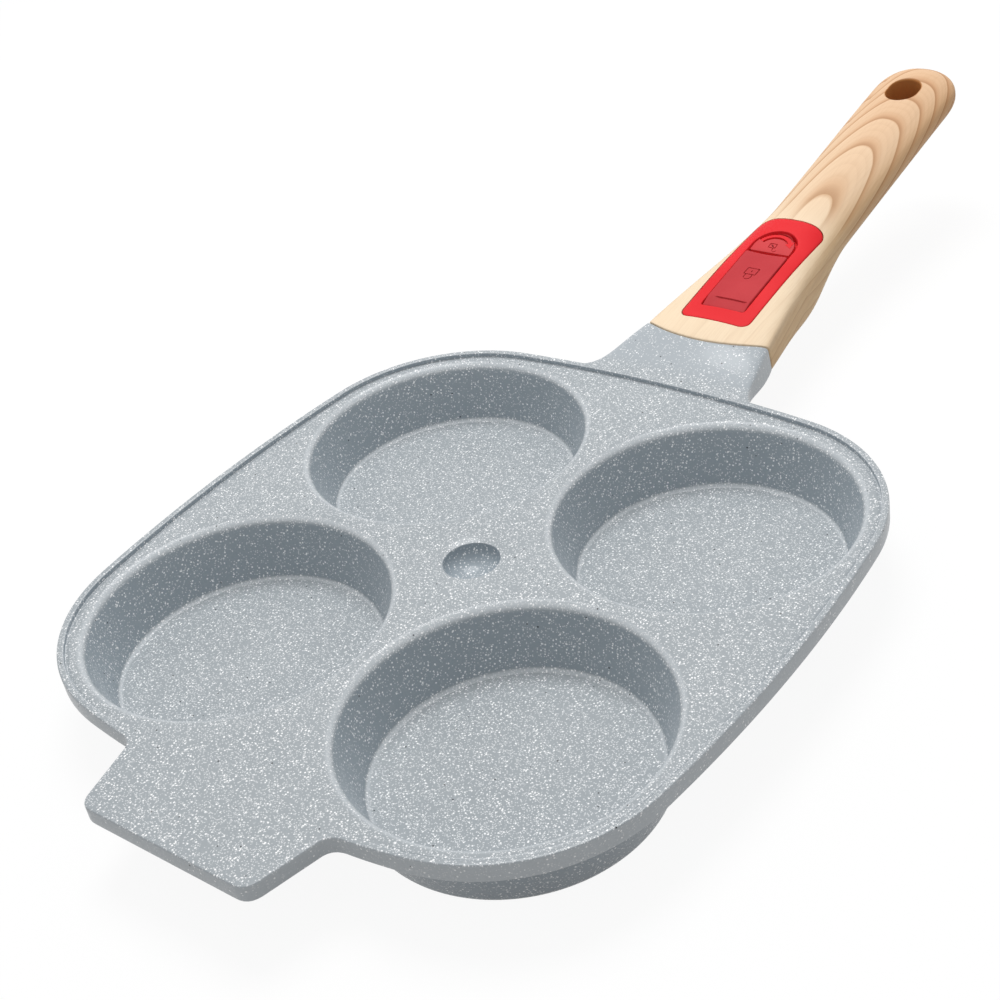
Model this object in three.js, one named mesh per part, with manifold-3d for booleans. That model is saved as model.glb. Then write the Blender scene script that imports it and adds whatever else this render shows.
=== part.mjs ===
// A four-cup pancake pan: a cast body with a neck and tongue, and a wood-look handle with a slide lock.
// Millimetres. X runs across the pan, +Y along the handle to its tail, +Z up.
// The pan is drawn with the top of its flange at Z = 0, and is set down on its cups at the end.
import * as THREE from 'three';
import { mergeVertices } from 'three/addons/utils/BufferGeometryUtils.js';
import Module from 'manifold-3d';

// Clearances
const SEAT_GAP = 0.3; // between pieces that seat on each other
const RUNNING_GAP = 0.35; // between pieces that slide or turn in each other
const CUT_MARGIN = 5; // how far a cutter runs past the face that it opens
const JOIN_OVERLAP = 1; // how far joined bodies run into each other
const WELD = 1e-4; // points this close are one point

// Cups
const CUP_PITCH = 110;
const RIM_LAND = 1; // flat between a cup's rim and the middle line of the pan
const CUP_DEPTH = 22; // from the flange top to the floor
const CUP_DRAFT = THREE.MathUtils.degToRad(16);
const CUP_WALL = 2.6;
const CUP_FLOOR = 4; // thick, to spread the heat
const RIM_FILLET = 2.8;
const RIM_RUN_OUT = 0.15; // the rim's roll ends just short of level, and runs out in a straight line
const FLOOR_FILLET = 2.2;
const BASE_FILLET = 3.5;

// Flange, lip, tab and dimple
const FLANGE_BORDER = 8; // from a cup's rim to the middle of a side
const SIDE_ARC = 545; // the sides bow a little
const CORNER_RADIUS = 59;
const FLANGE_PLATE = 2.5;
const EDGE_DROP = 4.8; // the rolled edge reaches this far below the flange top
const LIP_HEIGHT = 1.5;
const LIP_WIDTH = 2.3;
const TAB_ROOT_HALF = 40.8;
const TAB_FRONT_HALF = 33.6;
const TAB_REACH = 25.2; // past the side of the flange
const TAB_CORNER = 4.5;
const TAB_THICKNESS = 5.8;
const TAB_DROP = 0.15; // its top lies a hair below the flange's
const TAB_ROOT_FILLET = 3.5;
const DIMPLE_RADIUS = 9.5;
const DIMPLE_DEPTH = 7; // a boss under the flange keeps the wall's thickness
const DIMPLE_RUN_OUT = 1.1; // its cutter's arc runs on past the flange top by this factor

// Neck and handle, along a line that leaves the flange and rises to the tail
const NECK_REACH = 29.5; // from the flange to where the corners of the wood meet the neck
const NECK_BURIED = 0.7; // share of the lip's width that the neck starts in
const JOINT_RISE = 7.8; // top of the handle at the joint, above the flange
const HANDLE_TILT = THREE.MathUtils.degToRad(9.3);
const HANDLE_LENGTH = 190;
const JOINT_BULGE = 6.6; // the wood's front end bows towards the pan
const JOINT_GAP = 0.4;
const JOINT_ARC_LIMIT = 0.95; // most of its radius that the joint's bow may span
const NECK_ROOT_HALF = 32;
const NECK_ROOT_RISE = 1.3; // it leaves the lip just below its top
const NECK_FLARE = 6; // extra half width where the neck runs into the flange
const NECK_FLARE_EASE = 8;
const NECK_TAPER_EASE = 1.5;
const NECK_ROOT_DEPTH = 6.1;
const FRONT_HALF = 26.3; // half width at the joint
const FRONT_DEPTH = 19.2;
const WAIST_HALF = 17;
const WAIST_AT = 78; // along the handle
const WAIST_EASE = 1.3;
const GRIP_DEPTH = 23;
const GRIP_AT = 70; // where the handle has its grip's depth
const BELLY_SWELL = 4; // the underside swells a little near the lock
const BELLY_AT = 44;
const BELLY_SPREAD = 18;
const TAIL_HALF = 17.9;
const TAIL_DEPTH = 20.5;
const TAIL_ROUND = 21; // length of the rounded tail
const TAIL_PLAN_FULLNESS = 2.5;
const TAIL_SIDE_FULLNESS = 3;
const FRONT_CROWN = 2.8; // the top falls this much from its middle to its edges
const GRIP_CROWN = 1.5;
const FRONT_BELLY = 4.3; // the underside rises this much from its middle to its edges
const GRIP_BELLY = 3;
const FRONT_SQUARENESS = 7;
const GRIP_SQUARENESS = 2.5;
const ROUND_AT = 85; // where the handle's section has become an oval
const HOLE_SETBACK = 24; // from the tail to the middle of the hanging hole
const HOLE_HALF = 6.8;
const HOLE_HALF_LENGTH = 8;

// Lock bezel and its track, set in the top of the handle
const BEZEL_FRONT = 4.5; // distances along the handle from the joint
const BEZEL_REAR = 69.5;
const BEZEL_HALF = 14.7;
const BEZEL_CORNER = 3.5;
const BEZEL_END_BOW = 7; // how far the rear end bows out
const BEZEL_END_FULLNESS = 0.6;
const BEZEL_DEPTH = 4.2;
const TRACK_FRONT_BORDER = 7.5;
const TRACK_REAR_BORDER = 7.9;
const TRACK_SIDE_BORDER = 5.2;
const TRACK_DEPTH = 1.6;

// Slide button, carriage and their screws
const BUTTON_COVER = 0.3; // how far the button runs on past the bezel's slot
const BUTTON_RISE = 0.4; // above the bezel's top
const BUTTON_LEDGE = 5; // length of the bevelled front ledge
const BUTTON_LEDGE_STEP = 0.2;
const BUTTON_LEDGE_DROP = 1.1;
const SLIDE_TRAVEL = 5;
const STEM_HALF = 4;
const STEM_LENGTH = 8.5;
const CARRIAGE_HALF = 8;
const CARRIAGE_NOSE = 3; // in front of the stem
const CARRIAGE_TAIL = 2.5; // behind the stem
const CARRIAGE_PLATE = 1.3;
const CARRIAGE_LIP = 1.4; // thickness of the lip that the return spring pushes on
const CARRIAGE_LIP_DEPTH = 2.8;
const CARRIAGE_LIP_HALF = 5;
const LEG_LENGTH = 2.8; // the two legs that press the pawl's wings
const LEG_ARM = 2;
const LEG_SIDE_ROOM = 1.4; // between the legs and the pawl's arm
const LEG_DROP = 0.5; // below the carriage plate
const CARRIAGE_SCREW_SHANK = 0.9;
const CARRIAGE_SCREW_HEAD = 1.6;
const CARRIAGE_SCREW_HEAD_HEIGHT = 0.9;
const CARRIAGE_SCREW_INSET = 2; // from the ends of the stem
const CARRIAGE_SCREW_BITE = 0.5; // how far its bore runs into the button's plate

// Latch pawl, its pin and its spring
const HOOK_FRONT = 14.2;
const HOOK_LENGTH = 2.8;
const HOOK_REACH = 2; // into the tongue
const PAWL_HALF = 3.2;
const PAWL_THICKNESS = 1.8;
const PAWL_HEADROOM = 0.4; // below the carriage
const PAWL_EYE = 1.9;
const PIVOT_DROP = 1.6; // from the top of the pawl to its pivot
const PAWL_POCKET_ROOM = 1; // beside the pawl in the handle
const WING_OFFSET = 1.4; // behind the pivot
const WING_LENGTH = 2.8;
const WING_HALF = 7.2;
const WING_ROOM = 0.2; // below the carriage's legs
const PIN_RADIUS = 1;
const PAWL_SPRING_RADIUS = 1.75;
const PAWL_SPRING_WIRE = 0.2;
const PAWL_SPRING_TURNS = 2;

// Tongue and its sleeve
const TONGUE_HALF = 10.9;
const TONGUE_DROP = 1.7; // from the pawl's pivot to the tongue's top
const TONGUE_THICKNESS = 3.8;
const TONGUE_END = 3.9; // behind the window
const WINDOW_SIDE_ROOM = 0.6;
const WINDOW_FRONT_ROOM = 1.4; // the hook swings forward as it lifts
const WINDOW_REAR_ROOM = 1.1;
const SLEEVE_WALL = 0.8;
const SLEEVE_SETBACK = 3; // of its front edge, behind the wood's front end
const SLEEVE_OVERRUN = 1.5; // past the tongue

// Lock tray, its screws and the return spring
const TRAY_SIDE_ROOM = 1.5; // beside the carriage
const TRAY_WALL = 1.5;
const TRAY_FLOOR = 1.4;
const TRAY_SETBACK = 1.1; // behind the sleeve
const PIVOT_SETBACK = 4.4; // behind the tray's front
const TRAY_DROP = 4.7; // from the pawl's pivot to the underside of the tray
const TRAY_SCREW_FRONT = 2; // behind the carriage
const TRAY_SCREW_REAR = 7; // in front of the tray's rear end
const TRAY_BOSS = 3;
const TRAY_BOSS_ROOM = 0.7; // below the carriage's lip
const TRAY_SCREW_SHANK = 1.4;
const TRAY_SCREW_HEAD = 3;
const TRAY_SCREW_HEAD_HEIGHT = 2;
const TRAY_SCREW_LEDGE = 4.7; // thickness of the wood under the tray that the heads pull on
const RETURN_SPRING_LENGTH = 16.9;
const RETURN_SPRING_RADIUS = 1.6;
const RETURN_SPRING_WIRE = 0.3;
const RETURN_SPRING_TURNS = 7;

// Facets
const CUP_SEGMENTS = 40;
const FILLET_STEPS = 3;
const DIMPLE_STEPS = 7;
const SECTION_POINTS = 36;
const OUTLINE_SEGMENTS = 5;
const JOINT_SEGMENTS = 16;
const HOLE_SEGMENTS = 24;
const SMALL_SEGMENTS = 16;
const TURN_SEGMENTS = 10;
const WIRE_SEGMENTS = 3;

// Places on the pan that follow from its sizes
const cupRadius = CUP_PITCH / 2 - RIM_LAND - RIM_FILLET; // inside, at the top of the wall
const flangeHalf = CUP_PITCH / 2 + cupRadius + RIM_FILLET + FLANGE_BORDER;
const baseZ = -CUP_DEPTH - CUP_FLOOR;
const jointY = flangeHalf + NECK_REACH;

// Places in the lock that follow from its sizes: along the handle, and below its top line as negative heights
const bezelBottom = -BEZEL_DEPTH;
const trackFloor = -TRACK_DEPTH;
const trackFront = BEZEL_FRONT + TRACK_FRONT_BORDER;
const trackRear = BEZEL_REAR - TRACK_REAR_BORDER;
const trackHalf = BEZEL_HALF - TRACK_SIDE_BORDER;
const carriageTop = bezelBottom - SEAT_GAP;
const carriageBottom = carriageTop - CARRIAGE_PLATE;
const carriageLipBottom = carriageBottom - CARRIAGE_LIP_DEPTH;
const legBottom = carriageBottom - LEG_DROP;
const wingTop = legBottom - WING_ROOM;
const pawlTop = carriageBottom - PAWL_HEADROOM;
const pivotZ = pawlTop - PIVOT_DROP;
const tongueTop = pivotZ - TONGUE_DROP;
const tongueBottom = tongueTop - TONGUE_THICKNESS;
const hookRear = HOOK_FRONT + HOOK_LENGTH;
const windowFront = HOOK_FRONT - WINDOW_FRONT_ROOM;
const windowRear = hookRear + WINDOW_REAR_ROOM;
const windowHalf = PAWL_HALF + WINDOW_SIDE_ROOM;
const tongueRear = windowRear + TONGUE_END;
const sleeveFront = SLEEVE_SETBACK - JOINT_BULGE;
const sleeveRear = tongueRear + SLEEVE_OVERRUN;
const sleeveTop = tongueTop + SEAT_GAP + SLEEVE_WALL;
const sleeveBottom = tongueBottom - SEAT_GAP - SLEEVE_WALL;
const sleeveHalf = TONGUE_HALF + SEAT_GAP + SLEEVE_WALL;
const trayFront = sleeveRear + TRAY_SETBACK;
const pivotAt = trayFront + PIVOT_SETBACK;
const wingFront = pivotAt + WING_OFFSET;
const wingRear = wingFront + WING_LENGTH;
const legFront = trayFront + 2 * SEAT_GAP;
const legRear = legFront + LEG_LENGTH;
const legInner = PAWL_HALF + LEG_SIDE_ROOM;
const carriageFront = legRear + LEG_ARM;
const stemFront = carriageFront + CARRIAGE_NOSE;
const stemRear = stemFront + STEM_LENGTH;
const carriageRear = stemRear + CARRIAGE_TAIL;
const carriageScrewsAt = [stemFront + CARRIAGE_SCREW_INSET, stemRear - CARRIAGE_SCREW_INSET];
const slotHalf = STEM_HALF + RUNNING_GAP;
const slotFront = windowFront + RUNNING_GAP;
const slotRear = stemRear + SLIDE_TRAVEL + RUNNING_GAP;
const buttonFront = trackFront + RUNNING_GAP;
const buttonRear = slotRear + BUTTON_COVER;
const buttonHalf = trackHalf - RUNNING_GAP;
const buttonBottom = trackFloor + SEAT_GAP;
const trayHalf = CARRIAGE_HALF + TRAY_SIDE_ROOM + TRAY_WALL;
const trayTop = bezelBottom - SEAT_GAP;
const trayBottom = pivotZ - TRAY_DROP;
const trayFloorTop = trayBottom + TRAY_FLOOR;
const returnSpringFront = carriageRear + SEAT_GAP;
const returnSpringRear = returnSpringFront + RETURN_SPRING_LENGTH;
const returnSpringZ = bezelBottom - SEAT_GAP - RETURN_SPRING_RADIUS - RETURN_SPRING_WIRE;
const trayRear = returnSpringRear + SEAT_GAP + TRAY_WALL;
const trayScrewsAt = [carriageRear + TRAY_SCREW_FRONT, trayRear - TRAY_SCREW_REAR];
const trayBossTop = carriageLipBottom - TRAY_BOSS_ROOM;
const trayScrewSeat = trayBottom - TRAY_SCREW_LEDGE;
const pinBore = PIN_RADIUS + SEAT_GAP;
const pawlSpringInner = WING_HALF + 2 * SEAT_GAP;
const pawlSpringOuter = trayHalf - TRAY_WALL - 2 * SEAT_GAP;

const wasm = await Module();
wasm.setup();

// Solids: geometry to a solid for cutting and joining, and back
function toSolid(source) {
  const bare = source.clone();
  bare.deleteAttribute('normal');
  bare.deleteAttribute('uv');
  const merged = mergeVertices(bare, WELD);
  const vertices = merged.attributes.position.array;
  const triangles = [];
  let volume = 0;
  const corner = [new THREE.Vector3(), new THREE.Vector3(), new THREE.Vector3()];
  for (let i = 0; i < merged.index.count; i += 3) {
    const face = [merged.index.getX(i), merged.index.getX(i + 1), merged.index.getX(i + 2)];
    if (new Set(face).size === 3) {
      triangles.push(...face);
      face.forEach((vertex, k) => corner[k].fromArray(vertices, 3 * vertex));
      volume += corner[0].dot(corner[1].clone().cross(corner[2])) / 6;
    }
  }
  if (volume < 0) {
    for (let i = 0; i < triangles.length; i += 3) {
      [triangles[i], triangles[i + 1]] = [triangles[i + 1], triangles[i]];
    }
  }
  const mesh = new wasm.Mesh({
    numProp: 3,
    vertProperties: new Float32Array(vertices),
    triVerts: new Uint32Array(triangles),
  });
  mesh.merge();
  return new wasm.Manifold(mesh);
}

function toGeometry(solid) {
  const mesh = solid.getMesh();
  const geometry = new THREE.BufferGeometry();
  geometry.setAttribute('position', new THREE.BufferAttribute(mesh.vertProperties, 3));
  geometry.setIndex(new THREE.BufferAttribute(mesh.triVerts, 1));
  const flat = geometry.toNonIndexed();
  flat.computeVertexNormals();
  return flat;
}

// Shapes: boxes by their limits, extrusions between two heights, turned profiles and pins
function box(x0, x1, y0, y1, z0, z1) {
  const geometry = new THREE.BoxGeometry(x1 - x0, y1 - y0, z1 - z0);
  return geometry.translate((x0 + x1) / 2, (y0 + y1) / 2, (z0 + z1) / 2);
}

function prism(shape, z0, z1, curveSegments = OUTLINE_SEGMENTS) {
  const geometry = new THREE.ExtrudeGeometry(shape, { depth: z1 - z0, bevelEnabled: false, curveSegments });
  return geometry.translate(0, 0, z0);
}

function turned(profile, segments) {
  return new THREE.LatheGeometry(profile, segments).rotateX(Math.PI / 2);
}

function pin(radius, z0, z1, segments = SMALL_SEGMENTS) {
  const geometry = new THREE.CylinderGeometry(radius, radius, z1 - z0, segments).rotateX(Math.PI / 2);
  return geometry.translate(0, 0, (z0 + z1) / 2);
}

function crossPin(radius, halfLength) {
  return new THREE.CylinderGeometry(radius, radius, 2 * halfLength, SMALL_SEGMENTS).rotateZ(Math.PI / 2);
}

function arc(centreX, centreY, radius, from, to, steps) {
  const points = [];
  for (let i = 0; i <= steps; i += 1) {
    const angle = THREE.MathUtils.lerp(from, to, i / steps);
    points.push(new THREE.Vector2(centreX + radius * Math.cos(angle), centreY + radius * Math.sin(angle)));
  }
  return points;
}

// A closed loft through rings of points, from the first ring to the last
function loft(rings) {
  const count = rings[0].length;
  const points = rings.flat();
  const triangles = [];
  for (let i = 0; i + 1 < rings.length; i += 1) {
    for (let j = 0; j < count; j += 1) {
      const a = i * count + j;
      const b = i * count + ((j + 1) % count);
      triangles.push(a, a + count, b + count, a, b + count, b);
    }
  }
  for (const [ring, turn] of [[0, 1], [rings.length - 1, -1]]) {
    const middle = new THREE.Vector3();
    rings[ring].forEach((point) => middle.addScaledVector(point, 1 / count));
    points.push(middle);
    for (let j = 0; j < count; j += 1) {
      const a = ring * count + j;
      const b = ring * count + ((j + 1) % count);
      triangles.push(points.length - 1, turn > 0 ? a : b, turn > 0 ? b : a);
    }
  }
  const geometry = new THREE.BufferGeometry().setFromPoints(points);
  geometry.setIndex(triangles);
  return geometry;
}

// Cups: the hollow has a rolled rim and a filleted floor, and the outside follows it at the wall's thickness
const wallLean = Math.tan(CUP_DRAFT);
const wallTop = -RIM_FILLET * (1 - Math.sin(CUP_DRAFT));
const rimRadius = cupRadius + RIM_FILLET * Math.cos(CUP_DRAFT);

function wallRadius(z, outset) {
  return cupRadius + outset / Math.cos(CUP_DRAFT) - (wallTop - z) * wallLean;
}

function floorArc(floorZ, fillet, outset) {
  const tangentZ = floorZ + fillet * (1 - Math.sin(CUP_DRAFT));
  const centre = wallRadius(tangentZ, outset) - fillet * Math.cos(CUP_DRAFT);
  return arc(centre, floorZ + fillet, fillet, -Math.PI / 2, -CUP_DRAFT, FILLET_STEPS);
}

const rimArc = arc(
  rimRadius, -RIM_FILLET, RIM_FILLET, Math.PI - CUP_DRAFT, Math.PI / 2 + RIM_RUN_OUT, FILLET_STEPS,
);
const rimEnd = rimArc[rimArc.length - 1];
const hollowProfile = [
  new THREE.Vector2(0, -CUP_DEPTH),
  ...floorArc(-CUP_DEPTH, FLOOR_FILLET, 0),
  ...rimArc,
  new THREE.Vector2(rimEnd.x + LIP_HEIGHT / Math.tan(RIM_RUN_OUT), rimEnd.y + LIP_HEIGHT),
  new THREE.Vector2(0, rimEnd.y + LIP_HEIGHT),
];
const shellTop = -FLANGE_PLATE / 2;
const shellProfile = [
  new THREE.Vector2(0, baseZ),
  ...floorArc(baseZ, BASE_FILLET, CUP_WALL),
  new THREE.Vector2(wallRadius(shellTop, CUP_WALL), shellTop),
  new THREE.Vector2(0, shellTop),
];

// Flange outline: four bowed sides and four round corners, drawn in by an inset
function flangeShape(inset) {
  const sideCentre = SIDE_ARC - flangeHalf;
  const reach = SIDE_ARC - CORNER_RADIUS;
  const cornerCentre = (Math.sqrt(2 * reach * reach - sideCentre * sideCentre) - sideCentre) / 2;
  const sideAngle = Math.atan2(cornerCentre, cornerCentre + sideCentre);
  const shape = new THREE.Shape();
  for (let quarter = 0; quarter < 4; quarter += 1) {
    const turn = (quarter * Math.PI) / 2;
    const sideX = -sideCentre * Math.cos(turn);
    const sideY = -sideCentre * Math.sin(turn);
    shape.absarc(sideX, sideY, SIDE_ARC - inset, turn - sideAngle, turn + sideAngle, false);
    const middle = turn + Math.PI / 4;
    const cornerX = Math.SQRT2 * cornerCentre * Math.cos(middle);
    const cornerY = Math.SQRT2 * cornerCentre * Math.sin(middle);
    const cornerRadius = CORNER_RADIUS - inset;
    shape.absarc(cornerX, cornerY, cornerRadius, turn + sideAngle, turn + Math.PI / 2 - sideAngle, false);
  }
  return shape;
}

// Tab outline: a trapezoid with round front corners and small fillets where it leaves the flange
const tabFront = -(flangeHalf + TAB_REACH);
const tabRoot = -(flangeHalf - 2 * LIP_WIDTH); // inside the lip

function tabShape() {
  const lean = (TAB_ROOT_HALF - TAB_FRONT_HALF) / TAB_REACH;
  const filletY = -flangeHalf - TAB_ROOT_FILLET;
  const filletX = TAB_ROOT_HALF - lean * TAB_ROOT_FILLET;
  const cornerX = TAB_FRONT_HALF + lean * TAB_CORNER;
  const shape = new THREE.Shape();
  shape.moveTo(-TAB_ROOT_HALF - TAB_ROOT_FILLET, tabRoot);
  shape.quadraticCurveTo(-TAB_ROOT_HALF, -flangeHalf, -filletX, filletY);
  shape.lineTo(-cornerX, tabFront + TAB_CORNER);
  shape.quadraticCurveTo(-TAB_FRONT_HALF, tabFront, -TAB_FRONT_HALF + TAB_CORNER, tabFront);
  shape.lineTo(TAB_FRONT_HALF - TAB_CORNER, tabFront);
  shape.quadraticCurveTo(TAB_FRONT_HALF, tabFront, cornerX, tabFront + TAB_CORNER);
  shape.lineTo(filletX, filletY);
  shape.quadraticCurveTo(TAB_ROOT_HALF, -flangeHalf, TAB_ROOT_HALF + TAB_ROOT_FILLET, tabRoot);
  return shape;
}

// The line that the neck and handle follow: position and slope at a distance v along it from the joint
const neckRoot = flangeHalf - NECK_BURIED * LIP_WIDTH;
const neckLength = jointY - neckRoot;

function neckShare(v) {
  return THREE.MathUtils.clamp(1 + (v * Math.cos(HANDLE_TILT)) / neckLength, 0, 1);
}

function spine(v) {
  const y = jointY + v * Math.cos(HANDLE_TILT);
  if (v >= 0) {
    return { y, z: JOINT_RISE + v * Math.sin(HANDLE_TILT), tilt: HANDLE_TILT };
  }
  const t = neckShare(v);
  const ease = t * t * (3 - 2 * t);
  const lead = neckLength * Math.tan(HANDLE_TILT) * t * t * (t - 1);
  return { y, z: THREE.MathUtils.lerp(NECK_ROOT_RISE, JOINT_RISE, ease) + lead, tilt: HANDLE_TILT * t };
}

// Sizes of the section at a distance v: half width, depth, how far its top sinks, crown, belly and squareness
function sectionAt(v) {
  if (v < 0) {
    const t = neckShare(v);
    const ease = t * t * (3 - 2 * t);
    const flare = NECK_FLARE * (1 - t) ** NECK_FLARE_EASE;
    return {
      half: THREE.MathUtils.lerp(NECK_ROOT_HALF, FRONT_HALF, t ** NECK_TAPER_EASE) + flare,
      depth: THREE.MathUtils.lerp(NECK_ROOT_DEPTH, FRONT_DEPTH, ease),
      sink: 0,
      crown: FRONT_CROWN * t,
      belly: FRONT_BELLY * t,
      squareness: FRONT_SQUARENESS,
    };
  }
  const narrowing = 1 - (1 - Math.min(v / WAIST_AT, 1)) ** WAIST_EASE;
  const swelling = THREE.MathUtils.smoothstep(v, WAIST_AT, HANDLE_LENGTH - TAIL_ROUND);
  const deepening = 1 - (1 - Math.min(v / GRIP_AT, 1)) ** 2;
  const thinning = THREE.MathUtils.smoothstep(v, GRIP_AT, HANDLE_LENGTH - TAIL_ROUND);
  const swell = BELLY_SWELL * Math.exp(-(((v - BELLY_AT) / BELLY_SPREAD) ** 2));
  const rounding = 1 - (1 - Math.min(v / ROUND_AT, 1)) ** 2;
  const tail = Math.max(0, (v - (HANDLE_LENGTH - TAIL_ROUND)) / TAIL_ROUND);
  const width = THREE.MathUtils.lerp(FRONT_HALF, WAIST_HALF, narrowing) + (TAIL_HALF - WAIST_HALF) * swelling;
  const plain = THREE.MathUtils.lerp(FRONT_DEPTH, GRIP_DEPTH, deepening);
  const full = plain + (TAIL_DEPTH - GRIP_DEPTH) * thinning + swell;
  const depth = full * (1 - tail ** TAIL_SIDE_FULLNESS) ** (1 / TAIL_SIDE_FULLNESS);
  const crownShare = depth / full;
  return {
    half: width * (1 - tail ** TAIL_PLAN_FULLNESS) ** (1 / TAIL_PLAN_FULLNESS),
    depth,
    sink: (full - depth) / 2,
    crown: THREE.MathUtils.lerp(FRONT_CROWN, GRIP_CROWN, rounding) * crownShare,
    belly: THREE.MathUtils.lerp(FRONT_BELLY, GRIP_BELLY, rounding) * crownShare,
    squareness: THREE.MathUtils.lerp(FRONT_SQUARENESS, GRIP_SQUARENESS, rounding),
  };
}

function sectionRing(v) {
  const { y, z, tilt } = spine(v);
  const { half, depth, sink, crown, belly, squareness } = sectionAt(v);
  const wall = (depth - crown - belly) / 2;
  const ring = [];
  for (let i = 0; i < SECTION_POINTS; i += 1) {
    const angle = (2 * Math.PI * (i + 0.5)) / SECTION_POINTS;
    const roundness = Math.abs(Math.cos(angle)) ** squareness + Math.abs(Math.sin(angle)) ** squareness;
    const across = Math.cos(angle) * roundness ** (-1 / squareness);
    const up = Math.sin(angle) * roundness ** (-1 / squareness);
    const swell = (up > 0 ? crown : -belly) * (1 - across * across);
    const n = -sink - crown - wall + wall * up + swell;
    ring.push(new THREE.Vector3(half * across, y - n * Math.sin(tilt), z + n * Math.cos(tilt)));
  }
  return ring;
}

const neckStations = [0, 0.04, 0.1, 0.18, 0.3, 0.45, 0.6, 0.75, 0.9].map(
  (t) => ((t - 1) * neckLength) / Math.cos(HANDLE_TILT),
);
const gripStations = [0, 0.06, 0.12, 0.18, 0.24, 0.3, 0.38, 0.46, 0.56, 0.68, 0.8].map(
  (share) => share * HANDLE_LENGTH,
);
const tailStations = [0, 0.25, 0.45, 0.62, 0.76, 0.87, 0.94, 0.98].map(
  (share) => HANDLE_LENGTH - TAIL_ROUND * (1 - share),
);
const wholeLoft = loft([...neckStations, ...gripStations, ...tailStations].map(sectionRing));

// The handle's own frame: x across, y along the handle from the joint, z up from its top line
const handle = new THREE.Group();
handle.position.set(0, jointY, JOINT_RISE);
handle.rotation.x = HANDLE_TILT;
handle.updateMatrix();
const handleInverse = handle.matrix.clone().invert();

const deepest = GRIP_DEPTH + BELLY_SWELL + CUT_MARGIN;

// Everything behind the bowed joint, moved along the handle by an offset
function behindJoint(offset) {
  const radius = (FRONT_HALF * FRONT_HALF + JOINT_BULGE * JOINT_BULGE) / (2 * JOINT_BULGE);
  const reach = Math.min(FRONT_HALF + CUT_MARGIN, JOINT_ARC_LIMIT * radius);
  const spread = Math.asin(reach / radius);
  const centre = offset - JOINT_BULGE + radius;
  const shape = new THREE.Shape();
  shape.absarc(0, centre, radius, -Math.PI / 2 - spread, -Math.PI / 2 + spread, false);
  shape.lineTo(reach + NECK_ROOT_HALF, centre - radius * Math.cos(spread) + CUT_MARGIN);
  shape.lineTo(reach + NECK_ROOT_HALF, HANDLE_LENGTH + CUT_MARGIN);
  shape.lineTo(-reach - NECK_ROOT_HALF, HANDLE_LENGTH + CUT_MARGIN);
  shape.lineTo(-reach - NECK_ROOT_HALF, centre - radius * Math.cos(spread) + CUT_MARGIN);
  const deep = FRONT_DEPTH + deepest;
  return prism(shape, -deep, deep, JOINT_SEGMENTS);
}

// Pan casting
const windowCut = box(
  -windowHalf, windowHalf, windowFront, windowRear, tongueBottom - CUT_MARGIN, tongueTop + CUT_MARGIN,
);

function makeTongue() {
  const bar = box(-TONGUE_HALF, TONGUE_HALF, -2 * JOINT_BULGE, tongueRear, tongueBottom, tongueTop);
  return toSolid(bar).subtract(toSolid(windowCut));
}

function makeLip() {
  const ring = toSolid(prism(flangeShape(0), -EDGE_DROP, LIP_HEIGHT))
    .subtract(toSolid(prism(flangeShape(LIP_WIDTH), -EDGE_DROP - CUT_MARGIN, CUT_MARGIN)));
  const tabGap = toSolid(prism(tabShape(), -EDGE_DROP / 2, CUT_MARGIN));
  return ring.subtract(tabGap);
}

function makePan() {
  let pan = toSolid(prism(flangeShape(LIP_WIDTH / 2), -FLANGE_PLATE, 0));
  pan = pan.add(toSolid(prism(tabShape(), -TAB_THICKNESS, -TAB_DROP)));
  pan = pan.add(makeLip());
  const cutJoint = toSolid(behindJoint(-JOINT_GAP).applyMatrix4(handle.matrix));
  pan = pan.add(toSolid(wholeLoft).subtract(cutJoint));
  pan = pan.add(toSolid(toGeometry(makeTongue()).applyMatrix4(handle.matrix)));
  const hollow = turned(hollowProfile, CUP_SEGMENTS);
  const shell = turned(shellProfile, CUP_SEGMENTS);
  const dishRadius = (DIMPLE_RADIUS * DIMPLE_RADIUS + DIMPLE_DEPTH * DIMPLE_DEPTH) / (2 * DIMPLE_DEPTH);
  const dishZ = dishRadius - DIMPLE_DEPTH;
  const bossRadius = dishRadius + FLANGE_PLATE;
  const bossTop = -FLANGE_PLATE / 2;
  const bossEnd = -Math.PI / 2 + Math.acos((dishZ - bossTop) / bossRadius);
  const bossArc = arc(0, dishZ, bossRadius, -Math.PI / 2, bossEnd, DIMPLE_STEPS);
  pan = pan.add(toSolid(turned([...bossArc, new THREE.Vector2(0, bossTop)], HOLE_SEGMENTS)));
  const half = CUP_PITCH / 2;
  const centres = [[-half, -half], [half, -half], [-half, half], [half, half]];
  for (const [x, y] of centres) {
    pan = pan.add(toSolid(shell.clone().translate(x, y, 0)));
  }
  for (const [x, y] of centres) {
    pan = pan.subtract(toSolid(hollow.clone().translate(x, y, 0)));
  }
  const dishSpread = Math.asin(DIMPLE_RADIUS / dishRadius);
  const dishEnd = -Math.PI / 2 + DIMPLE_RUN_OUT * dishSpread;
  const dishArc = arc(0, dishZ, dishRadius, -Math.PI / 2, dishEnd, DIMPLE_STEPS);
  const dish = turned([...dishArc, new THREE.Vector2(0, dishArc[dishArc.length - 1].y)], HOLE_SEGMENTS);
  return pan.subtract(toSolid(dish));
}

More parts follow.
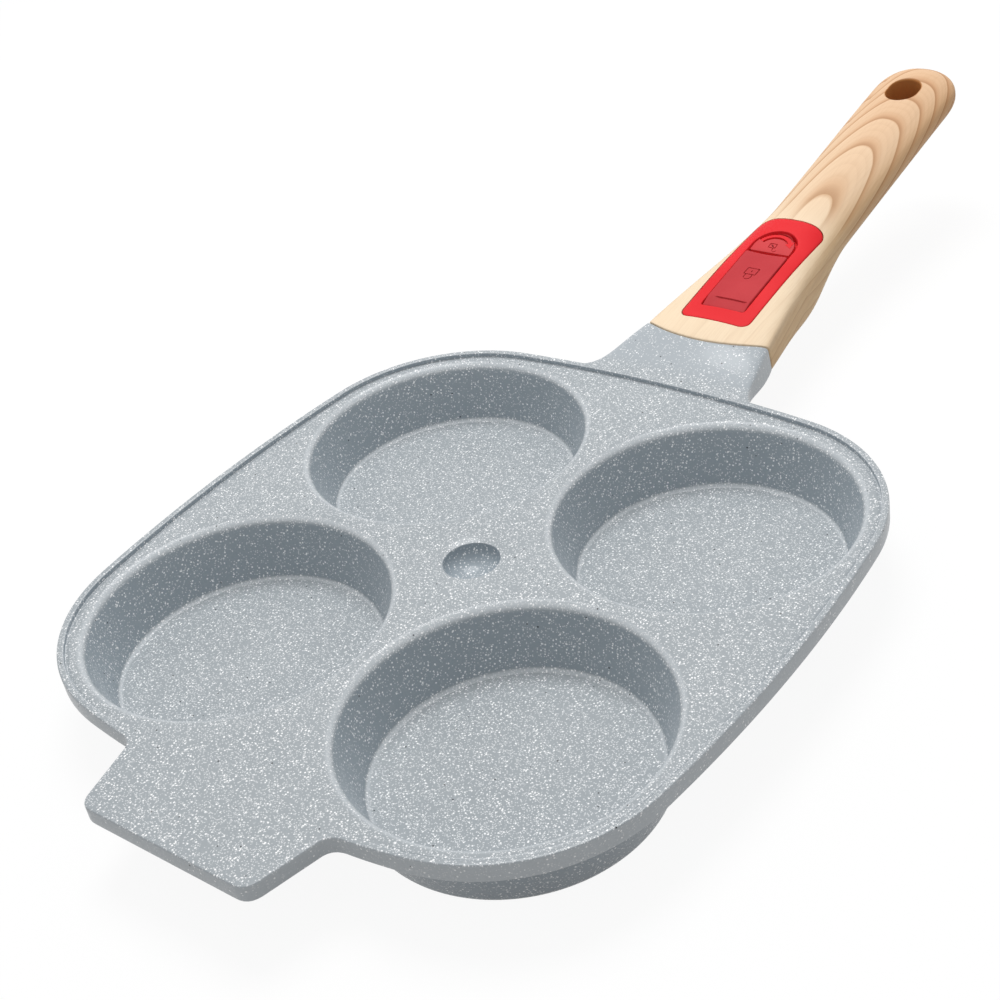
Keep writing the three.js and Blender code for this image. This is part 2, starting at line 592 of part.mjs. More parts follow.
// Lock outlines, seen from above in the handle's frame
function bezelShape(grow) {
  const half = BEZEL_HALF + grow;
  const front = BEZEL_FRONT - grow;
  const rear = BEZEL_REAR + grow;
  const corner = BEZEL_CORNER + grow;
  const shoulder = BEZEL_REAR - BEZEL_END_BOW;
  const shape = new THREE.Shape();
  shape.moveTo(-half + corner, front);
  shape.lineTo(half - corner, front);
  shape.absarc(half - corner, front + corner, corner, -Math.PI / 2, 0, false);
  shape.lineTo(half, shoulder);
  shape.bezierCurveTo(half, rear, BEZEL_END_FULLNESS * half, rear, 0, rear);
  shape.bezierCurveTo(-BEZEL_END_FULLNESS * half, rear, -half, rear, -half, shoulder);
  shape.lineTo(-half, front + corner);
  shape.absarc(-half + corner, front + corner, corner, Math.PI, 1.5 * Math.PI, false);
  return shape;
}

function trackShape() {
  const shape = new THREE.Shape();
  shape.moveTo(-trackHalf, trackFront);
  shape.lineTo(trackHalf, trackFront);
  shape.absarc(0, trackRear - trackHalf, trackHalf, 0, Math.PI, false);
  return shape;
}

// The wood-look handle before its pockets are cut, in the handle's own frame
const gripBlank = toSolid(wholeLoft.clone().applyMatrix4(handleInverse)).intersect(toSolid(behindJoint(0)));

function makeGrip() {
  const pocketHalf = PAWL_HALF + PAWL_POCKET_ROOM;
  const socketHalf = sleeveHalf + SEAT_GAP;
  const seatHalf = trayHalf + SEAT_GAP;
  const holeAt = HANDLE_LENGTH - HOLE_SETBACK;
  const hole = new THREE.Shape();
  hole.absarc(0, holeAt + HOLE_HALF_LENGTH - HOLE_HALF, HOLE_HALF, 0, Math.PI, false);
  hole.absarc(0, holeAt - HOLE_HALF_LENGTH + HOLE_HALF, HOLE_HALF, Math.PI, 2 * Math.PI, false);
  const cuts = [
    prism(bezelShape(SEAT_GAP), trayTop, CUT_MARGIN),
    box(-seatHalf, seatHalf, trayFront - SEAT_GAP, trayRear + SEAT_GAP, trayBottom - SEAT_GAP, 0),
    box(-pocketHalf, pocketHalf, windowFront - SEAT_GAP, trayFront, sleeveBottom, 0),
    box(
      -socketHalf, socketHalf, -JOINT_BULGE - CUT_MARGIN, sleeveRear + SEAT_GAP,
      sleeveBottom - SEAT_GAP, sleeveTop + SEAT_GAP,
    ),
    prism(hole, -deepest, CUT_MARGIN, HOLE_SEGMENTS / 4),
  ];
  for (const v of trayScrewsAt) {
    cuts.push(pin(TRAY_SCREW_SHANK + SEAT_GAP, trayScrewSeat - CUT_MARGIN, 0).translate(0, v, 0));
    cuts.push(pin(TRAY_SCREW_HEAD + SEAT_GAP, -deepest, trayScrewSeat).translate(0, v, 0));
  }
  return cuts.reduce((solid, cut) => solid.subtract(toSolid(cut)), gripBlank);
}

function makeBezel() {
  const plate = toSolid(prism(bezelShape(0), bezelBottom, CUT_MARGIN)).intersect(gripBlank);
  const slot = box(-slotHalf, slotHalf, slotFront, slotRear, bezelBottom - CUT_MARGIN, 0);
  return plate.subtract(toSolid(prism(trackShape(), trackFloor, CUT_MARGIN))).subtract(toSolid(slot));
}

function makeButton() {
  const raised = toSolid(toGeometry(gripBlank).translate(0, 0, BUTTON_RISE));
  const plate = toSolid(box(-buttonHalf, buttonHalf, buttonFront, buttonRear, buttonBottom, CUT_MARGIN));
  const ledge = new THREE.Shape();
  ledge.moveTo(buttonFront + BUTTON_LEDGE, CUT_MARGIN);
  ledge.lineTo(buttonFront + BUTTON_LEDGE, BUTTON_RISE - BUTTON_LEDGE_STEP);
  ledge.lineTo(buttonFront, BUTTON_RISE - BUTTON_LEDGE_DROP);
  ledge.lineTo(buttonFront - CUT_MARGIN, BUTTON_RISE - BUTTON_LEDGE_DROP);
  ledge.lineTo(buttonFront - CUT_MARGIN, CUT_MARGIN);
  const ledgeCut = prism(ledge, -trackHalf, trackHalf).rotateY(Math.PI / 2).rotateX(Math.PI / 2);
  let button = plate.intersect(raised).subtract(toSolid(ledgeCut));
  const stem = box(-STEM_HALF, STEM_HALF, stemFront, stemRear, bezelBottom, trackFloor + JOIN_OVERLAP);
  button = button.add(toSolid(stem));
  const boreTop = trackFloor + CARRIAGE_SCREW_BITE;
  for (const v of carriageScrewsAt) {
    const bore = pin(CARRIAGE_SCREW_SHANK + SEAT_GAP, bezelBottom - CUT_MARGIN, boreTop).translate(0, v, 0);
    button = button.subtract(toSolid(bore));
  }
  return button;
}

function makeCarriage() {
  const lipFront = carriageRear - CARRIAGE_LIP;
  const blocks = [
    box(-CARRIAGE_HALF, CARRIAGE_HALF, carriageFront, carriageRear, carriageBottom, carriageTop),
    box(-CARRIAGE_LIP_HALF, CARRIAGE_LIP_HALF, lipFront, carriageRear, carriageLipBottom, carriageTop),
  ];
  for (const [x0, x1] of [[legInner, WING_HALF], [-WING_HALF, -legInner]]) {
    blocks.push(box(x0, x1, legFront, legRear, legBottom, carriageTop));
    blocks.push(box(x0, x1, legFront, carriageFront + JOIN_OVERLAP, carriageBottom, carriageTop));
  }
  let carriage = blocks.map(toSolid).reduce((solid, block) => solid.add(block));
  for (const v of carriageScrewsAt) {
    const bore = pin(CARRIAGE_SCREW_SHANK + SEAT_GAP, carriageBottom - CUT_MARGIN, CUT_MARGIN);
    carriage = carriage.subtract(toSolid(bore.translate(0, v, 0)));
  }
  return carriage;
}

function makeSleeve() {
  const outer = box(-sleeveHalf, sleeveHalf, sleeveFront, sleeveRear, sleeveBottom, sleeveTop);
  const inner = box(
    -sleeveHalf + SLEEVE_WALL, sleeveHalf - SLEEVE_WALL, sleeveFront - CUT_MARGIN, sleeveRear + CUT_MARGIN,
    sleeveBottom + SLEEVE_WALL, sleeveTop - SLEEVE_WALL,
  );
  return toSolid(outer).subtract(toSolid(inner)).subtract(toSolid(windowCut));
}

// The pawl's arm with its hook in front and its wings behind, about the eye that turns on the pin
function makePawl() {
  const bottom = pawlTop - PAWL_THICKNESS;
  const blocks = [
    box(-PAWL_HALF, PAWL_HALF, HOOK_FRONT, pivotAt, bottom, pawlTop),
    box(-PAWL_HALF, PAWL_HALF, HOOK_FRONT, hookRear, tongueTop - HOOK_REACH, pawlTop),
    crossPin(PAWL_EYE, PAWL_HALF).translate(0, pivotAt, pivotZ),
    box(-PAWL_HALF, PAWL_HALF, pivotAt, wingRear, bottom, wingTop),
    box(-WING_HALF, WING_HALF, wingFront, wingRear, bottom, wingTop),
  ];
  const pawl = blocks.map(toSolid).reduce((solid, block) => solid.add(block));
  return pawl.subtract(toSolid(crossPin(pinBore, WING_HALF).translate(0, pivotAt, pivotZ)));
}

function makeTray() {
  const inner = trayHalf - TRAY_WALL;
  let tray = toSolid(box(-trayHalf, trayHalf, trayFront, trayRear, trayBottom, trayTop));
  const room = box(-inner, inner, trayFront - CUT_MARGIN, trayRear - TRAY_WALL, trayFloorTop, CUT_MARGIN);
  tray = tray.subtract(toSolid(room));
  const pinHole = crossPin(pinBore, trayHalf + CUT_MARGIN).translate(0, pivotAt, pivotZ);
  tray = tray.subtract(toSolid(pinHole));
  for (const v of trayScrewsAt) {
    tray = tray.add(toSolid(pin(TRAY_BOSS, trayFloorTop - TRAY_FLOOR / 2, trayBossTop).translate(0, v, 0)));
    const bore = pin(TRAY_SCREW_SHANK + SEAT_GAP, trayBottom - CUT_MARGIN, 0).translate(0, v, 0);
    tray = tray.subtract(toSolid(bore));
  }
  return tray;
}

// A screw with a flat head, its head below and its shank up to a given height
function screw(headRadius, shankRadius, headBottom, headTop, shankTop) {
  return turned([
    new THREE.Vector2(0, headBottom),
    new THREE.Vector2(headRadius, headBottom),
    new THREE.Vector2(headRadius, headTop),
    new THREE.Vector2(shankRadius, headTop),
    new THREE.Vector2(shankRadius, shankTop),
    new THREE.Vector2(0, shankTop),
  ], SMALL_SEGMENTS);
}

// A wire wound round an axis along x or y, from one place on it to another
class Helix extends THREE.Curve {
  constructor(axis, centre, radius, from, to, turns) {
    super();
    Object.assign(this, { axis, centre, radius, from, to, turns });
  }

  getPoint(t, target = new THREE.Vector3()) {
    const angle = 2 * Math.PI * this.turns * t;
    const along = THREE.MathUtils.lerp(this.from, this.to, t);
    const side = this.radius * Math.cos(angle);
    const rise = this.radius * Math.sin(angle);
    if (this.axis === 'x') {
      return target.set(along, this.centre.y + side, this.centre.z + rise);
    }
    return target.set(this.centre.x + side, along, this.centre.z + rise);
  }
}

function wound(curve, wireRadius) {
  const wire = new THREE.Shape();
  wire.absarc(0, 0, wireRadius, 0, 2 * Math.PI, false);
  const steps = Math.round(TURN_SEGMENTS * curve.turns);
  return new THREE.ExtrudeGeometry(wire, { steps, extrudePath: curve, curveSegments: WIRE_SEGMENTS });
}

// Materials
function finish(color, roughness, metalness) {
  return new THREE.MeshStandardMaterial({ color, roughness, metalness });
}

const coating = finish(0xb4babe, 0.5, 0.1);
const wood = finish(0xe3c39a, 0.55, 0);
const brightRed = finish(0xe0353b, 0.4, 0);
const dullRed = finish(0xc4474b, 0.5, 0);
const steel = finish(0xb9bcc0, 0.3, 1);
const blackPlastic = finish(0x26282a, 0.6, 0);

// Assembly
const root = new THREE.Group();

function place(name, geometry, material, parent = handle) {
  const mesh = new THREE.Mesh(geometry, material);
  mesh.name = name;
  parent.add(mesh);
  return mesh;
}

place('pan_body', toGeometry(makePan()), coating, root);
root.add(handle);
place('handle_grip', toGeometry(makeGrip()), wood);
place('socket_sleeve', toGeometry(makeSleeve()), steel);
place('lock_bezel', toGeometry(makeBezel()), brightRed);
place('slide_button', toGeometry(makeButton()), dullRed);
place('button_carriage', toGeometry(makeCarriage()), blackPlastic);
place('lock_tray', toGeometry(makeTray()), blackPlastic);
['front', 'rear'].forEach((end, i) => {
  const headTop = carriageBottom - SEAT_GAP;
  const headBottom = headTop - CARRIAGE_SCREW_HEAD_HEIGHT;
  const tip = trackFloor + CARRIAGE_SCREW_BITE - SEAT_GAP;
  const geometry = screw(CARRIAGE_SCREW_HEAD, CARRIAGE_SCREW_SHANK, headBottom, headTop, tip);
  place(`carriage_screw_${end}`, geometry, steel).position.y = carriageScrewsAt[i];
});
['front', 'rear'].forEach((end, i) => {
  const headTop = trayScrewSeat - SEAT_GAP;
  const headBottom = headTop - TRAY_SCREW_HEAD_HEIGHT;
  const tip = trayBossTop - SEAT_GAP;
  const geometry = screw(TRAY_SCREW_HEAD, TRAY_SCREW_SHANK, headBottom, headTop, tip);
  place(`tray_screw_${end}`, geometry, steel).position.y = trayScrewsAt[i];
});
const pivot = new THREE.Vector3(0, pivotAt, pivotZ);
place('latch_pawl', toGeometry(makePawl()), steel);
place('pawl_pin', crossPin(PIN_RADIUS, trayHalf - SEAT_GAP), steel).position.copy(pivot);
const pawlCoil = new Helix(
  'x', pivot, PAWL_SPRING_RADIUS, pawlSpringInner, pawlSpringOuter, PAWL_SPRING_TURNS,
);
place('pawl_spring', wound(pawlCoil, PAWL_SPRING_WIRE), steel);
const returnCoil = new Helix(
  'y', new THREE.Vector3(0, 0, returnSpringZ), RETURN_SPRING_RADIUS,
  returnSpringFront + RETURN_SPRING_WIRE, returnSpringRear - RETURN_SPRING_WIRE, RETURN_SPRING_TURNS,
);
place('return_spring', wound(returnCoil, RETURN_SPRING_WIRE), steel);

// Stand the pan on its cups, with the origin below the middle of its outline
root.updateMatrixWorld(true);
const bounds = new THREE.Box3().setFromObject(root, true);
root.position.set(-(bounds.min.x + bounds.max.x) / 2, -(bounds.min.y + bounds.max.y) / 2, -bounds.min.z);

export default root;
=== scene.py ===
"""Looks of the pancake pan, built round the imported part. Sizes are millimetres until a mesh is made."""
import math

import bmesh
import bpy
from mathutils import Matrix, Vector
from mathutils.geometry import delaunay_2d_cdt


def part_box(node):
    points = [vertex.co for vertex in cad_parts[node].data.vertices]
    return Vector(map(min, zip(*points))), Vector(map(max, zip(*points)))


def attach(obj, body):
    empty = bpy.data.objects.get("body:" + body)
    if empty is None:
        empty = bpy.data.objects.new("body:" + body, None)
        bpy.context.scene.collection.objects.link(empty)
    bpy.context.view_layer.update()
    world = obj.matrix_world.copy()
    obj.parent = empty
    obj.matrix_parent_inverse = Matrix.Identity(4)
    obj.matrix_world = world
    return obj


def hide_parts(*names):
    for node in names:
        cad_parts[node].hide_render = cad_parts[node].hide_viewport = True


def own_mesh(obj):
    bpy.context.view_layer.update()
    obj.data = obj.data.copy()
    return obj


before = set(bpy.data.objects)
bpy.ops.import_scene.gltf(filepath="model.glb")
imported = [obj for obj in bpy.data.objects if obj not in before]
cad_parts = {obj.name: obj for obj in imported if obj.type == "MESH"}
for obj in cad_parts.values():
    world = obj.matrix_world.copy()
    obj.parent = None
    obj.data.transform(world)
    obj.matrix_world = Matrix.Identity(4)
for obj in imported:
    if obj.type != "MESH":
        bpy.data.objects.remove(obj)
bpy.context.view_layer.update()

MM = 0.001
WELD = 2e-6
FILL_TOLERANCE = 1e-7
TINY = 1e-9
# Edges that bend by more degrees than this are shaded sharp
PAN_SHARP = 40
BLANK_SHARP = 35
GRIP_SHARP = 32
LOCK_SHARP = 30

# Cups
CUP_PITCH = 110.0
CUP_RADIUS = 50.3
CUP_DEPTH = 22.0
CUP_FLOOR = 4.0
CUP_WALL = 3.2
CUP_DRAFT = math.radians(16)
RIM_FILLET = 4.0
FLOOR_FILLET = 2.2
BASE_FILLET = 3.5
UNDER_FILLET = 0.7
CUP_STEPS = 160
FILLET_STEPS = 8
UNDER_FILLET_STEPS = 4
FLOOR_RINGS = (12.0, 24.0, 36.0)
CUP_EDGE_MARGIN = 0.5

# Flange, tab and dimple
FLANGE_HALF = 117.0
SIDE_ARC = 545.0
SIDE_STEPS = 120
CORNER_RADIUS = 59.0
CORNER_STEPS = 80
FLANGE_PLATE = 2.5
EDGE_DROP = 4.8
LIP_HEIGHT = 1.5
LIP_WIDTH = 2.3
LIP_ROUND = 0.55
LIP_STEPS = 5
LIP_LAST_ANGLE = 0.1
EDGE_FOOT_ROUND = 0.5
EDGE_FOOT_STEPS = 4
LIP_GROOVE = 0.35
LIP_GROOVE_WIDTH = 1.5
# The groove inside the lip, as shares of its width and depth
GROOVE_SHAPE = ((0.0, 0.6), (0.08, 0.92), (0.3, 1.0), (0.62, 0.55), (0.85, 0.12), (1.0, 0.0))
TAB_ROOT_HALF = 40.8
TAB_FRONT_HALF = 33.6
TAB_REACH = 25.2
TAB_CORNER = 4.5
TAB_CORNER_STEPS = 14
TAB_THICKNESS = 5.8
TAB_STEP_RUN = 0.4
TAB_FADE = 26.0
ROOT_FILLET = 3.8
ROOT_PULL = 0.5
ROOT_STEPS = 10
RIM_STEP = 1.4
RIM_SLACK = 0.05
DIMPLE_RADIUS = 9.5
DIMPLE_DEPTH = 7.0
DIMPLE_EDGE = 0.3
DIMPLE_STEPS = 64
DIMPLE_FULLNESS = 2.25
# How far the dimple is pushed towards the wall tone, as painted shade
DIMPLE_PAINTED_SHADE = 0.6
BOWL_STEPS = 20
MOUTH_STEPS = 5
BOSS_STEPS = 12

# Neck and handle
NECK_REACH = 29.5
NECK_OVERLAP = 1.61
JOINT_RISE = 7.8
HANDLE_TILT = math.radians(9.3)
HANDLE_LENGTH = 189.9
JOINT_BULGE = 6.6
JOINT_GAP = 0.4
JOINT_EDGE = 0.6
JOINT_EDGE_STEPS = 5
BOW_REACH = 24.0
NECK_STEPS = 44
NECK_ROOT_HALF = 32.0
NECK_ROOT_RISE = 1.3
NECK_FLARE = 6.0
NECK_FLARE_EASE = 8
NECK_TAPER_EASE = 1.5
NECK_ROOT_DEPTH = 6.1
FRONT_HALF = 26.3
FRONT_DEPTH = 19.2
WAIST_HALF = 17.0
WAIST_AT = 78.0
WAIST_EASE = 1.3
GRIP_DEPTH = 23.0
GRIP_AT = 70.0
BELLY_SWELL = 4.0
BELLY_AT = 44.0
BELLY_SPREAD = 18.0
TAIL_HALF = 17.9
TAIL_DEPTH = 20.5
TAIL_ROUND = 21.0
TAIL_PLAN_FULLNESS = 2.5
TAIL_SIDE_FULLNESS = 2.85
FRONT_CROWN = 2.8
GRIP_CROWN = 1.5
FRONT_BELLY = 4.3
GRIP_BELLY = 3.0
FRONT_SQUARENESS = 11.0
GRIP_SQUARENESS = 2.5
ROUND_AT = 85.0
HOLE_AT = 166.0
HOLE_HALF = 6.8
HOLE_HALF_LENGTH = 8.0
HOLE_EDGE = 1.3
HOLE_EDGE_STEPS = 6
HOLE_EDGE_OVERLAP = 0.05
HOLE_CLEAR = 0.6
HOLE_CLEAR_TOP = 3.0
SECTION_STEPS = 128
FIRST_RING = 1.4
RING_SPACING = 2.0
TAIL_STEPS = 26
UNDER_CLEAR = 6.0

# Lock: distances along the handle from the joint, and heights above its top line
BEZEL_FRONT = 4.5
BEZEL_REAR = 69.5
BEZEL_HALF = 14.7
BEZEL_CORNER = 3.5
BEZEL_CORNER_STEPS = 16
BEZEL_END_BOW = 7.0
BEZEL_END_FULLNESS = 0.6
BEZEL_END_STEPS = 40
BEZEL_BOTTOM = -4.2
BEZEL_SEAM = 0.34
SEAT_GAP = 0.3
SEAT_TOP = 6.0
FRAME_STEPS = 8
# Rounded upper edges of bezel and slider, and the foot of the track's wall, as inset and height
EDGE_ROUND = ((0.0, -0.45), (0.05, -0.24), (0.17, -0.08), (0.4, 0.0))
TRACK_FOOT = ((0.0, 0.35), (0.1, 0.12), (0.3, 0.0))
TRACK_FRONT = 12.0
TRACK_REAR = 61.6
TRACK_HALF = 9.5
TRACK_FLOOR = -1.6
TRACK_CORNER = 1.0
TRACK_END_STEPS = 48
SLOT_HALF = 4.35
SLOT_FRONT = 13.15
SLOT_REAR = 46.85
BUTTON_FRONT = 12.35
BUTTON_REAR = 47.15
BUTTON_HALF = 9.15
BUTTON_CORNER = 0.8
SMALL_CORNER_STEPS = 6
BUTTON_BOTTOM = -1.3
BUTTON_SKIRT = 0.1
BUTTON_RISE = 0.4
BUTTON_LEDGE = 5.0
BUTTON_LEDGE_STEP = 0.6
BUTTON_LEDGE_DROP = 1.1
# Where the ledge's step fades at its left and right end, as shares of the half width
LEDGE_LEFT = (-0.7, -0.45)
LEDGE_RIGHT = (-0.92, -0.72)
BUTTON_FLAT = 4.0
BUTTON_DISH = 1.0
# Points that carry the slider's top: rows at the step, then a grid
STEP_ROWS = (-0.04, 0.12)
GRID_STEP = 1.0
LEDGE_ROWS = 4
DISH_ROWS = 28
GRID_HALF = 8.4
GRID_PITCH = 0.7
GRID_COLUMNS = 25
GRID_MARGIN = 0.8
STEM_HALF = 4.0
STEM_FRONT = 33.0
STEM_REAR = 41.5
STEM_OVERLAP = 0.3
# Boxes inside the handle: half width, front, rear, bottom and top
TRAY_BOX = (11.3, 24.3, 63.3, -12.8, BEZEL_BOTTOM)
POCKET_BOX = (4.2, 12.5, 25.3, -14.2, BEZEL_BOTTOM)
SOCKET_BOX = (12.3, -11.6, 23.8, -14.7, -8.1)
TONGUE_BOX = (10.9, -13.2, 22.0, -13.3, -9.5)
WINDOW_BOX = (3.8, 12.8, 18.1, -14.3, -8.5)
TRAY_SCREWS_AT = (46.0, 56.0)
SCREW_BORE = 3.3
SCREW_BORE_STEPS = 32
SCREW_SEAT = -17.2
OUTLINE_STEPS = 256
MARK_LINE = 0.42
MARK_DEPTH = 0.3
MARK_CLEAR = 1.0
# Padlocks: place across, place along and size; then shares of the size
LOCKED_MARK = (0.0, 33.4, 4.9)
UNLOCKED_MARK = (-1.0, 52.4, 2.9)
PADLOCK_BODY = 0.8
PADLOCK_BOW = 0.3
PADLOCK_BOW_RISE = 0.28
PADLOCK_BOW_STEPS = 12
PADLOCK_SWING = 0.55
PADLOCK_KEY = (0.28, 0.52)
PADLOCK_GAP = 0.3
PADLOCK_STEPS = 48
PAD_FRONT = 49.6
PAD_THICKNESS = 1.6
PAD_EDGE_GAP = 0.3
PAD_SIDE_GAP = 1.2
PAD_SIDE_EASE = 1.5
PAD_REAR_GAP = 0.2
PAD_REAR_EASE = 2
WELL_EDGE_GAP = PAD_EDGE_GAP / 3
WELL_CLEAR = 0.6
PAD_TOP = -1.42
PAD_RISE_FROM = 52.4
PAD_RISE = 0.075
PAD_ROUND = 0.12
PAD_CORNER = 0.6
ARROW_X = -0.7
ARROW_RADIUS = 7.2
ARROW_WIDTH = 1.5
ARROW_MOAT = 3.3
ARROW_MOAT_DEPTH = 0.7
ARROW_HEAD = 1.9
ARROW_RISE = 0.08
ARROW_HEAD_RISE = 0.09
# The arrow's ends, the base of its head and its tip, in degrees round the track's rear end
ARROW_START = 152.0
ARROW_END = 34.0
ARROW_HEAD_START = 36.0
ARROW_TIP = 12.0
ARROW_STEPS = 40

# Colours
COAT_FLAT = ((0.325, 0.358, 0.382), (0.360, 0.393, 0.417))
# Walls and the dimple: a darker, bluer tone as painted shade
COAT_WALL_PAINTED_SHADE = (0.310, 0.366, 0.412)
# Outer edges and fillets: a paler tone, as painted light on the edges and a painted highlight along the
# fillets
COAT_PAINTED_LIGHT = (0.60, 0.64, 0.67)
COAT_NECK = (0.405, 0.445, 0.480)
COAT_GRAIN = (0.43, 0.46, 0.48)
SPECK_FINE = (0.70, 0.72, 0.735)
SPECK_COARSE = (0.96, 0.965, 0.97)
SPECK_DARK = (0.035, 0.037, 0.04)
WOOD_RING = [
    (0.0, (0.510, 0.300, 0.165)), (0.04, (0.555, 0.340, 0.195)), (0.14, (0.710, 0.480, 0.300)),
    (0.34, (0.810, 0.605, 0.412)), (0.96, (0.855, 0.665, 0.470)), (1.0, (0.660, 0.440, 0.265)),
]
WOOD_LINE = (0.56, 0.36, 0.21)
WOOD_PLAIN = (0.875, 0.705, 0.505)
WOOD_STREAK = (0.60, 0.41, 0.26)
WOOD_FIBRE = (0.62, 0.42, 0.26)
WOOD_REAR_TINT = (0.80, 0.56, 0.38)
WOOD_SIDE_TINT = (0.98, 0.87, 0.69)
# Painted shade for the inside of the hanging hole
WOOD_BORE_PAINTED_SHADE = (0.50, 0.21, 0.062)
STEEL_STREAK = ((0.50, 0.51, 0.53), (0.62, 0.63, 0.65))
WHITE = (1.0, 1.0, 1.0)

# Coating: slopes of walls, outer edges and fillets, where painted shade, painted light and a painted
# highlight go, and the distance over which the neck's tone fades in
WALL_SLOPES = (0.42, 0.73)
EDGE_SLOPES = (-0.3, -0.75)
FILLET_FROM = (0.02, 0.14)
FILLET_TO = (0.55, 0.3)
NECK_FADE = (1.0, 9.0)
# Specks: cells in a metre, size in a cell, and the share of cells with one, on flats and on walls
FINE_CELLS = 1700.0
FINE_SIZE = 0.44
FINE_SHARE = (0.72, 0.28)
COARSE_CELLS = 920.0
COARSE_SIZE = 0.33
COARSE_SHARE = (0.42, 0.32)
DARK_CELLS = 330.0
DARK_SIZE = 0.115
DARK_SHARE = 0.14
SPECK_CORE = 0.7

# Wood: width of a ring in metres, where the arches start, and how they bend and run along the handle
RING_WIDTH = 0.0125
ARCH_START = 0.68
ARCH_BEND = 3.75
ARCH_RUN = -5.09
RING_LINES = 4.0
SIDE_FROM = 2.5
SIDE_TO = 7.0
# How far noise is stretched across, along and down the handle
SWAY_STRETCH = (45.0, 9.0, 45.0)
STREAK_STRETCH = (430.0, 9.0, 430.0)
FIBRE_STRETCH = (1500.0, 55.0, 1500.0)
STEEL_STRETCH = (900.0, 60.0, 900.0)

# Stage, in metres, watts and degrees
FLOOR_REACH = 6.0
FLOOR_BOUNCE = (0.41, 0.41, 0.41)
FLOOR_GLOW = 0.92
WORLD_FILL = 0.5
LAMP_PLACE = (-0.31, 0.33, 1.28)
LAMP_TARGET = (0.0, -0.02, 0.02)
LAMP_SIZE = 0.75
LAMP_WATTS = 12.8
CAMERA_PLACE = (0.319886, -0.414697, 0.352621)
CAMERA_TURN = (55.3535, 9.2448, 37.2036)
CAMERA_LENS = 61.6
CAMERA_SENSOR = 36.0
CAMERA_NEAREST = 0.01

pan_low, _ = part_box("pan_body")
PAN_Y = pan_low.y / MM + FLANGE_HALF + TAB_REACH
FLANGE_Z = CUP_DEPTH + CUP_FLOOR
JOINT_Y = FLANGE_HALF + NECK_REACH
NECK_LENGTH = NECK_REACH + NECK_OVERLAP


def smooth(value, low, high):
    share = min(max((value - low) / (high - low), 0.0), 1.0)
    return share * share * (3 - 2 * share)


def mix(a, b, share):
    return a + (b - a) * share


# Places: the pan's frame has its middle at the flange top, the handle's frame starts at the joint
def pan_place(x, y, z):
    return Vector((x, y + PAN_Y, z + FLANGE_Z)) * MM


def handle_place(x, v, n):
    y = JOINT_Y + v * math.cos(HANDLE_TILT) - n * math.sin(HANDLE_TILT)
    z = JOINT_RISE + v * math.sin(HANDLE_TILT) + n * math.cos(HANDLE_TILT)
    return pan_place(x, y, z)


# Meshes
def finish_mesh(name, work, material):
    """A plain object at the origin from a work mesh: outward faces, smooth between its sharp edges."""
    bmesh.ops.remove_doubles(work, verts=work.verts, dist=WELD)
    bmesh.ops.recalc_face_normals(work, faces=work.faces)
    mesh = bpy.data.meshes.new(name)
    work.to_mesh(mesh)
    work.free()
    return shade(name, mesh, material)


def shade(name, mesh, material, sharp_degrees=BLANK_SHARP):
    mesh.materials.clear()
    mesh.materials.append(material)
    mesh.polygons.foreach_set("use_smooth", [True] * len(mesh.polygons))
    mesh.set_sharp_from_angle(angle=math.radians(sharp_degrees))
    piece = bpy.data.objects.new(name, mesh)
    bpy.context.scene.collection.objects.link(piece)
    return piece


def add_rings(work, rings):
    """Quads between closed rings of places; returns the rings' vertices."""
    made = [[work.verts.new(place) for place in ring] for ring in rings]
    count = len(made[0])
    for near, far in zip(made, made[1:]):
        for i in range(count):
            j = (i + 1) % count
            work.faces.new((near[i], near[j], far[j], far[i]))
    return made


def inside(loop, x, y):
    """Whether a point lies inside a closed loop of points."""
    found = False
    x1, y1 = loop[-1]
    for x2, y2 in loop:
        if (y1 > y) != (y2 > y) and x < x1 + (y - y1) * (x2 - x1) / (y2 - y1):
            found = not found
        x1, y1 = x2, y2
    return found


def fill(work, outer, holes, place, extra=()):
    """Triangles between an outer loop and its holes; place turns a flat point into a place."""
    points = []
    edges = []
    for loop in [outer, *holes]:
        start = len(points)
        points.extend(Vector(point) for point in loop)
        edges.extend((start + i, start + (i + 1) % len(loop)) for i in range(len(loop)))
    points.extend(Vector(point) for point in extra)
    corners, _, faces, *_ = delaunay_2d_cdt(points, edges, [], 0, FILL_TOLERANCE)
    made = [work.verts.new(place(corner.x, corner.y)) for corner in corners]
    for face in faces:
        x = sum(corners[i].x for i in face) / 3
        y = sum(corners[i].y for i in face) / 3
        if inside(outer, x, y) and not any(inside(hole, x, y) for hole in holes):
            work.faces.new([made[i] for i in face])


def resample(path, count):
    """A closed path as that many points, evenly spaced from its first one."""
    lengths = [0.0]
    for a, b in zip(path, path[1:] + path[:1]):
        lengths.append(lengths[-1] + math.dist(a, b))
    points = []
    step = 0
    for i in range(count):
        target = lengths[-1] * i / count
        while lengths[step + 1] < target:
            step += 1
        a = path[step]
        b = path[(step + 1) % len(path)]
        share = (target - lengths[step]) / max(lengths[step + 1] - lengths[step], TINY)
        points.append((mix(a[0], b[0], share), mix(a[1], b[1], share)))
    return points


def headings(path, closed=True):
    """The unit direction along a path at each of its points."""
    count = len(path)
    found = []
    for i in range(count):
        a = path[i - 1] if closed or i > 0 else path[i]
        b = path[(i + 1) % count] if closed or i < count - 1 else path[i]
        run = math.dist(a, b)
        found.append(((b[0] - a[0]) / run, (b[1] - a[1]) / run))
    return found


def inset_path(path, distance):
    """A counter-clockwise closed path moved inwards by a distance, or by one for each point."""
    depths = distance if isinstance(distance, list) else [distance] * len(path)
    return [(x - dy * d, y + dx * d) for (x, y), (dx, dy), d in zip(path, headings(path), depths)]


def arc(x, y, radius, start, end, steps):
    angles = [mix(start, end, i / steps) for i in range(steps + 1)]
    return [(x + radius * math.cos(a), y + radius * math.sin(a)) for a in angles]


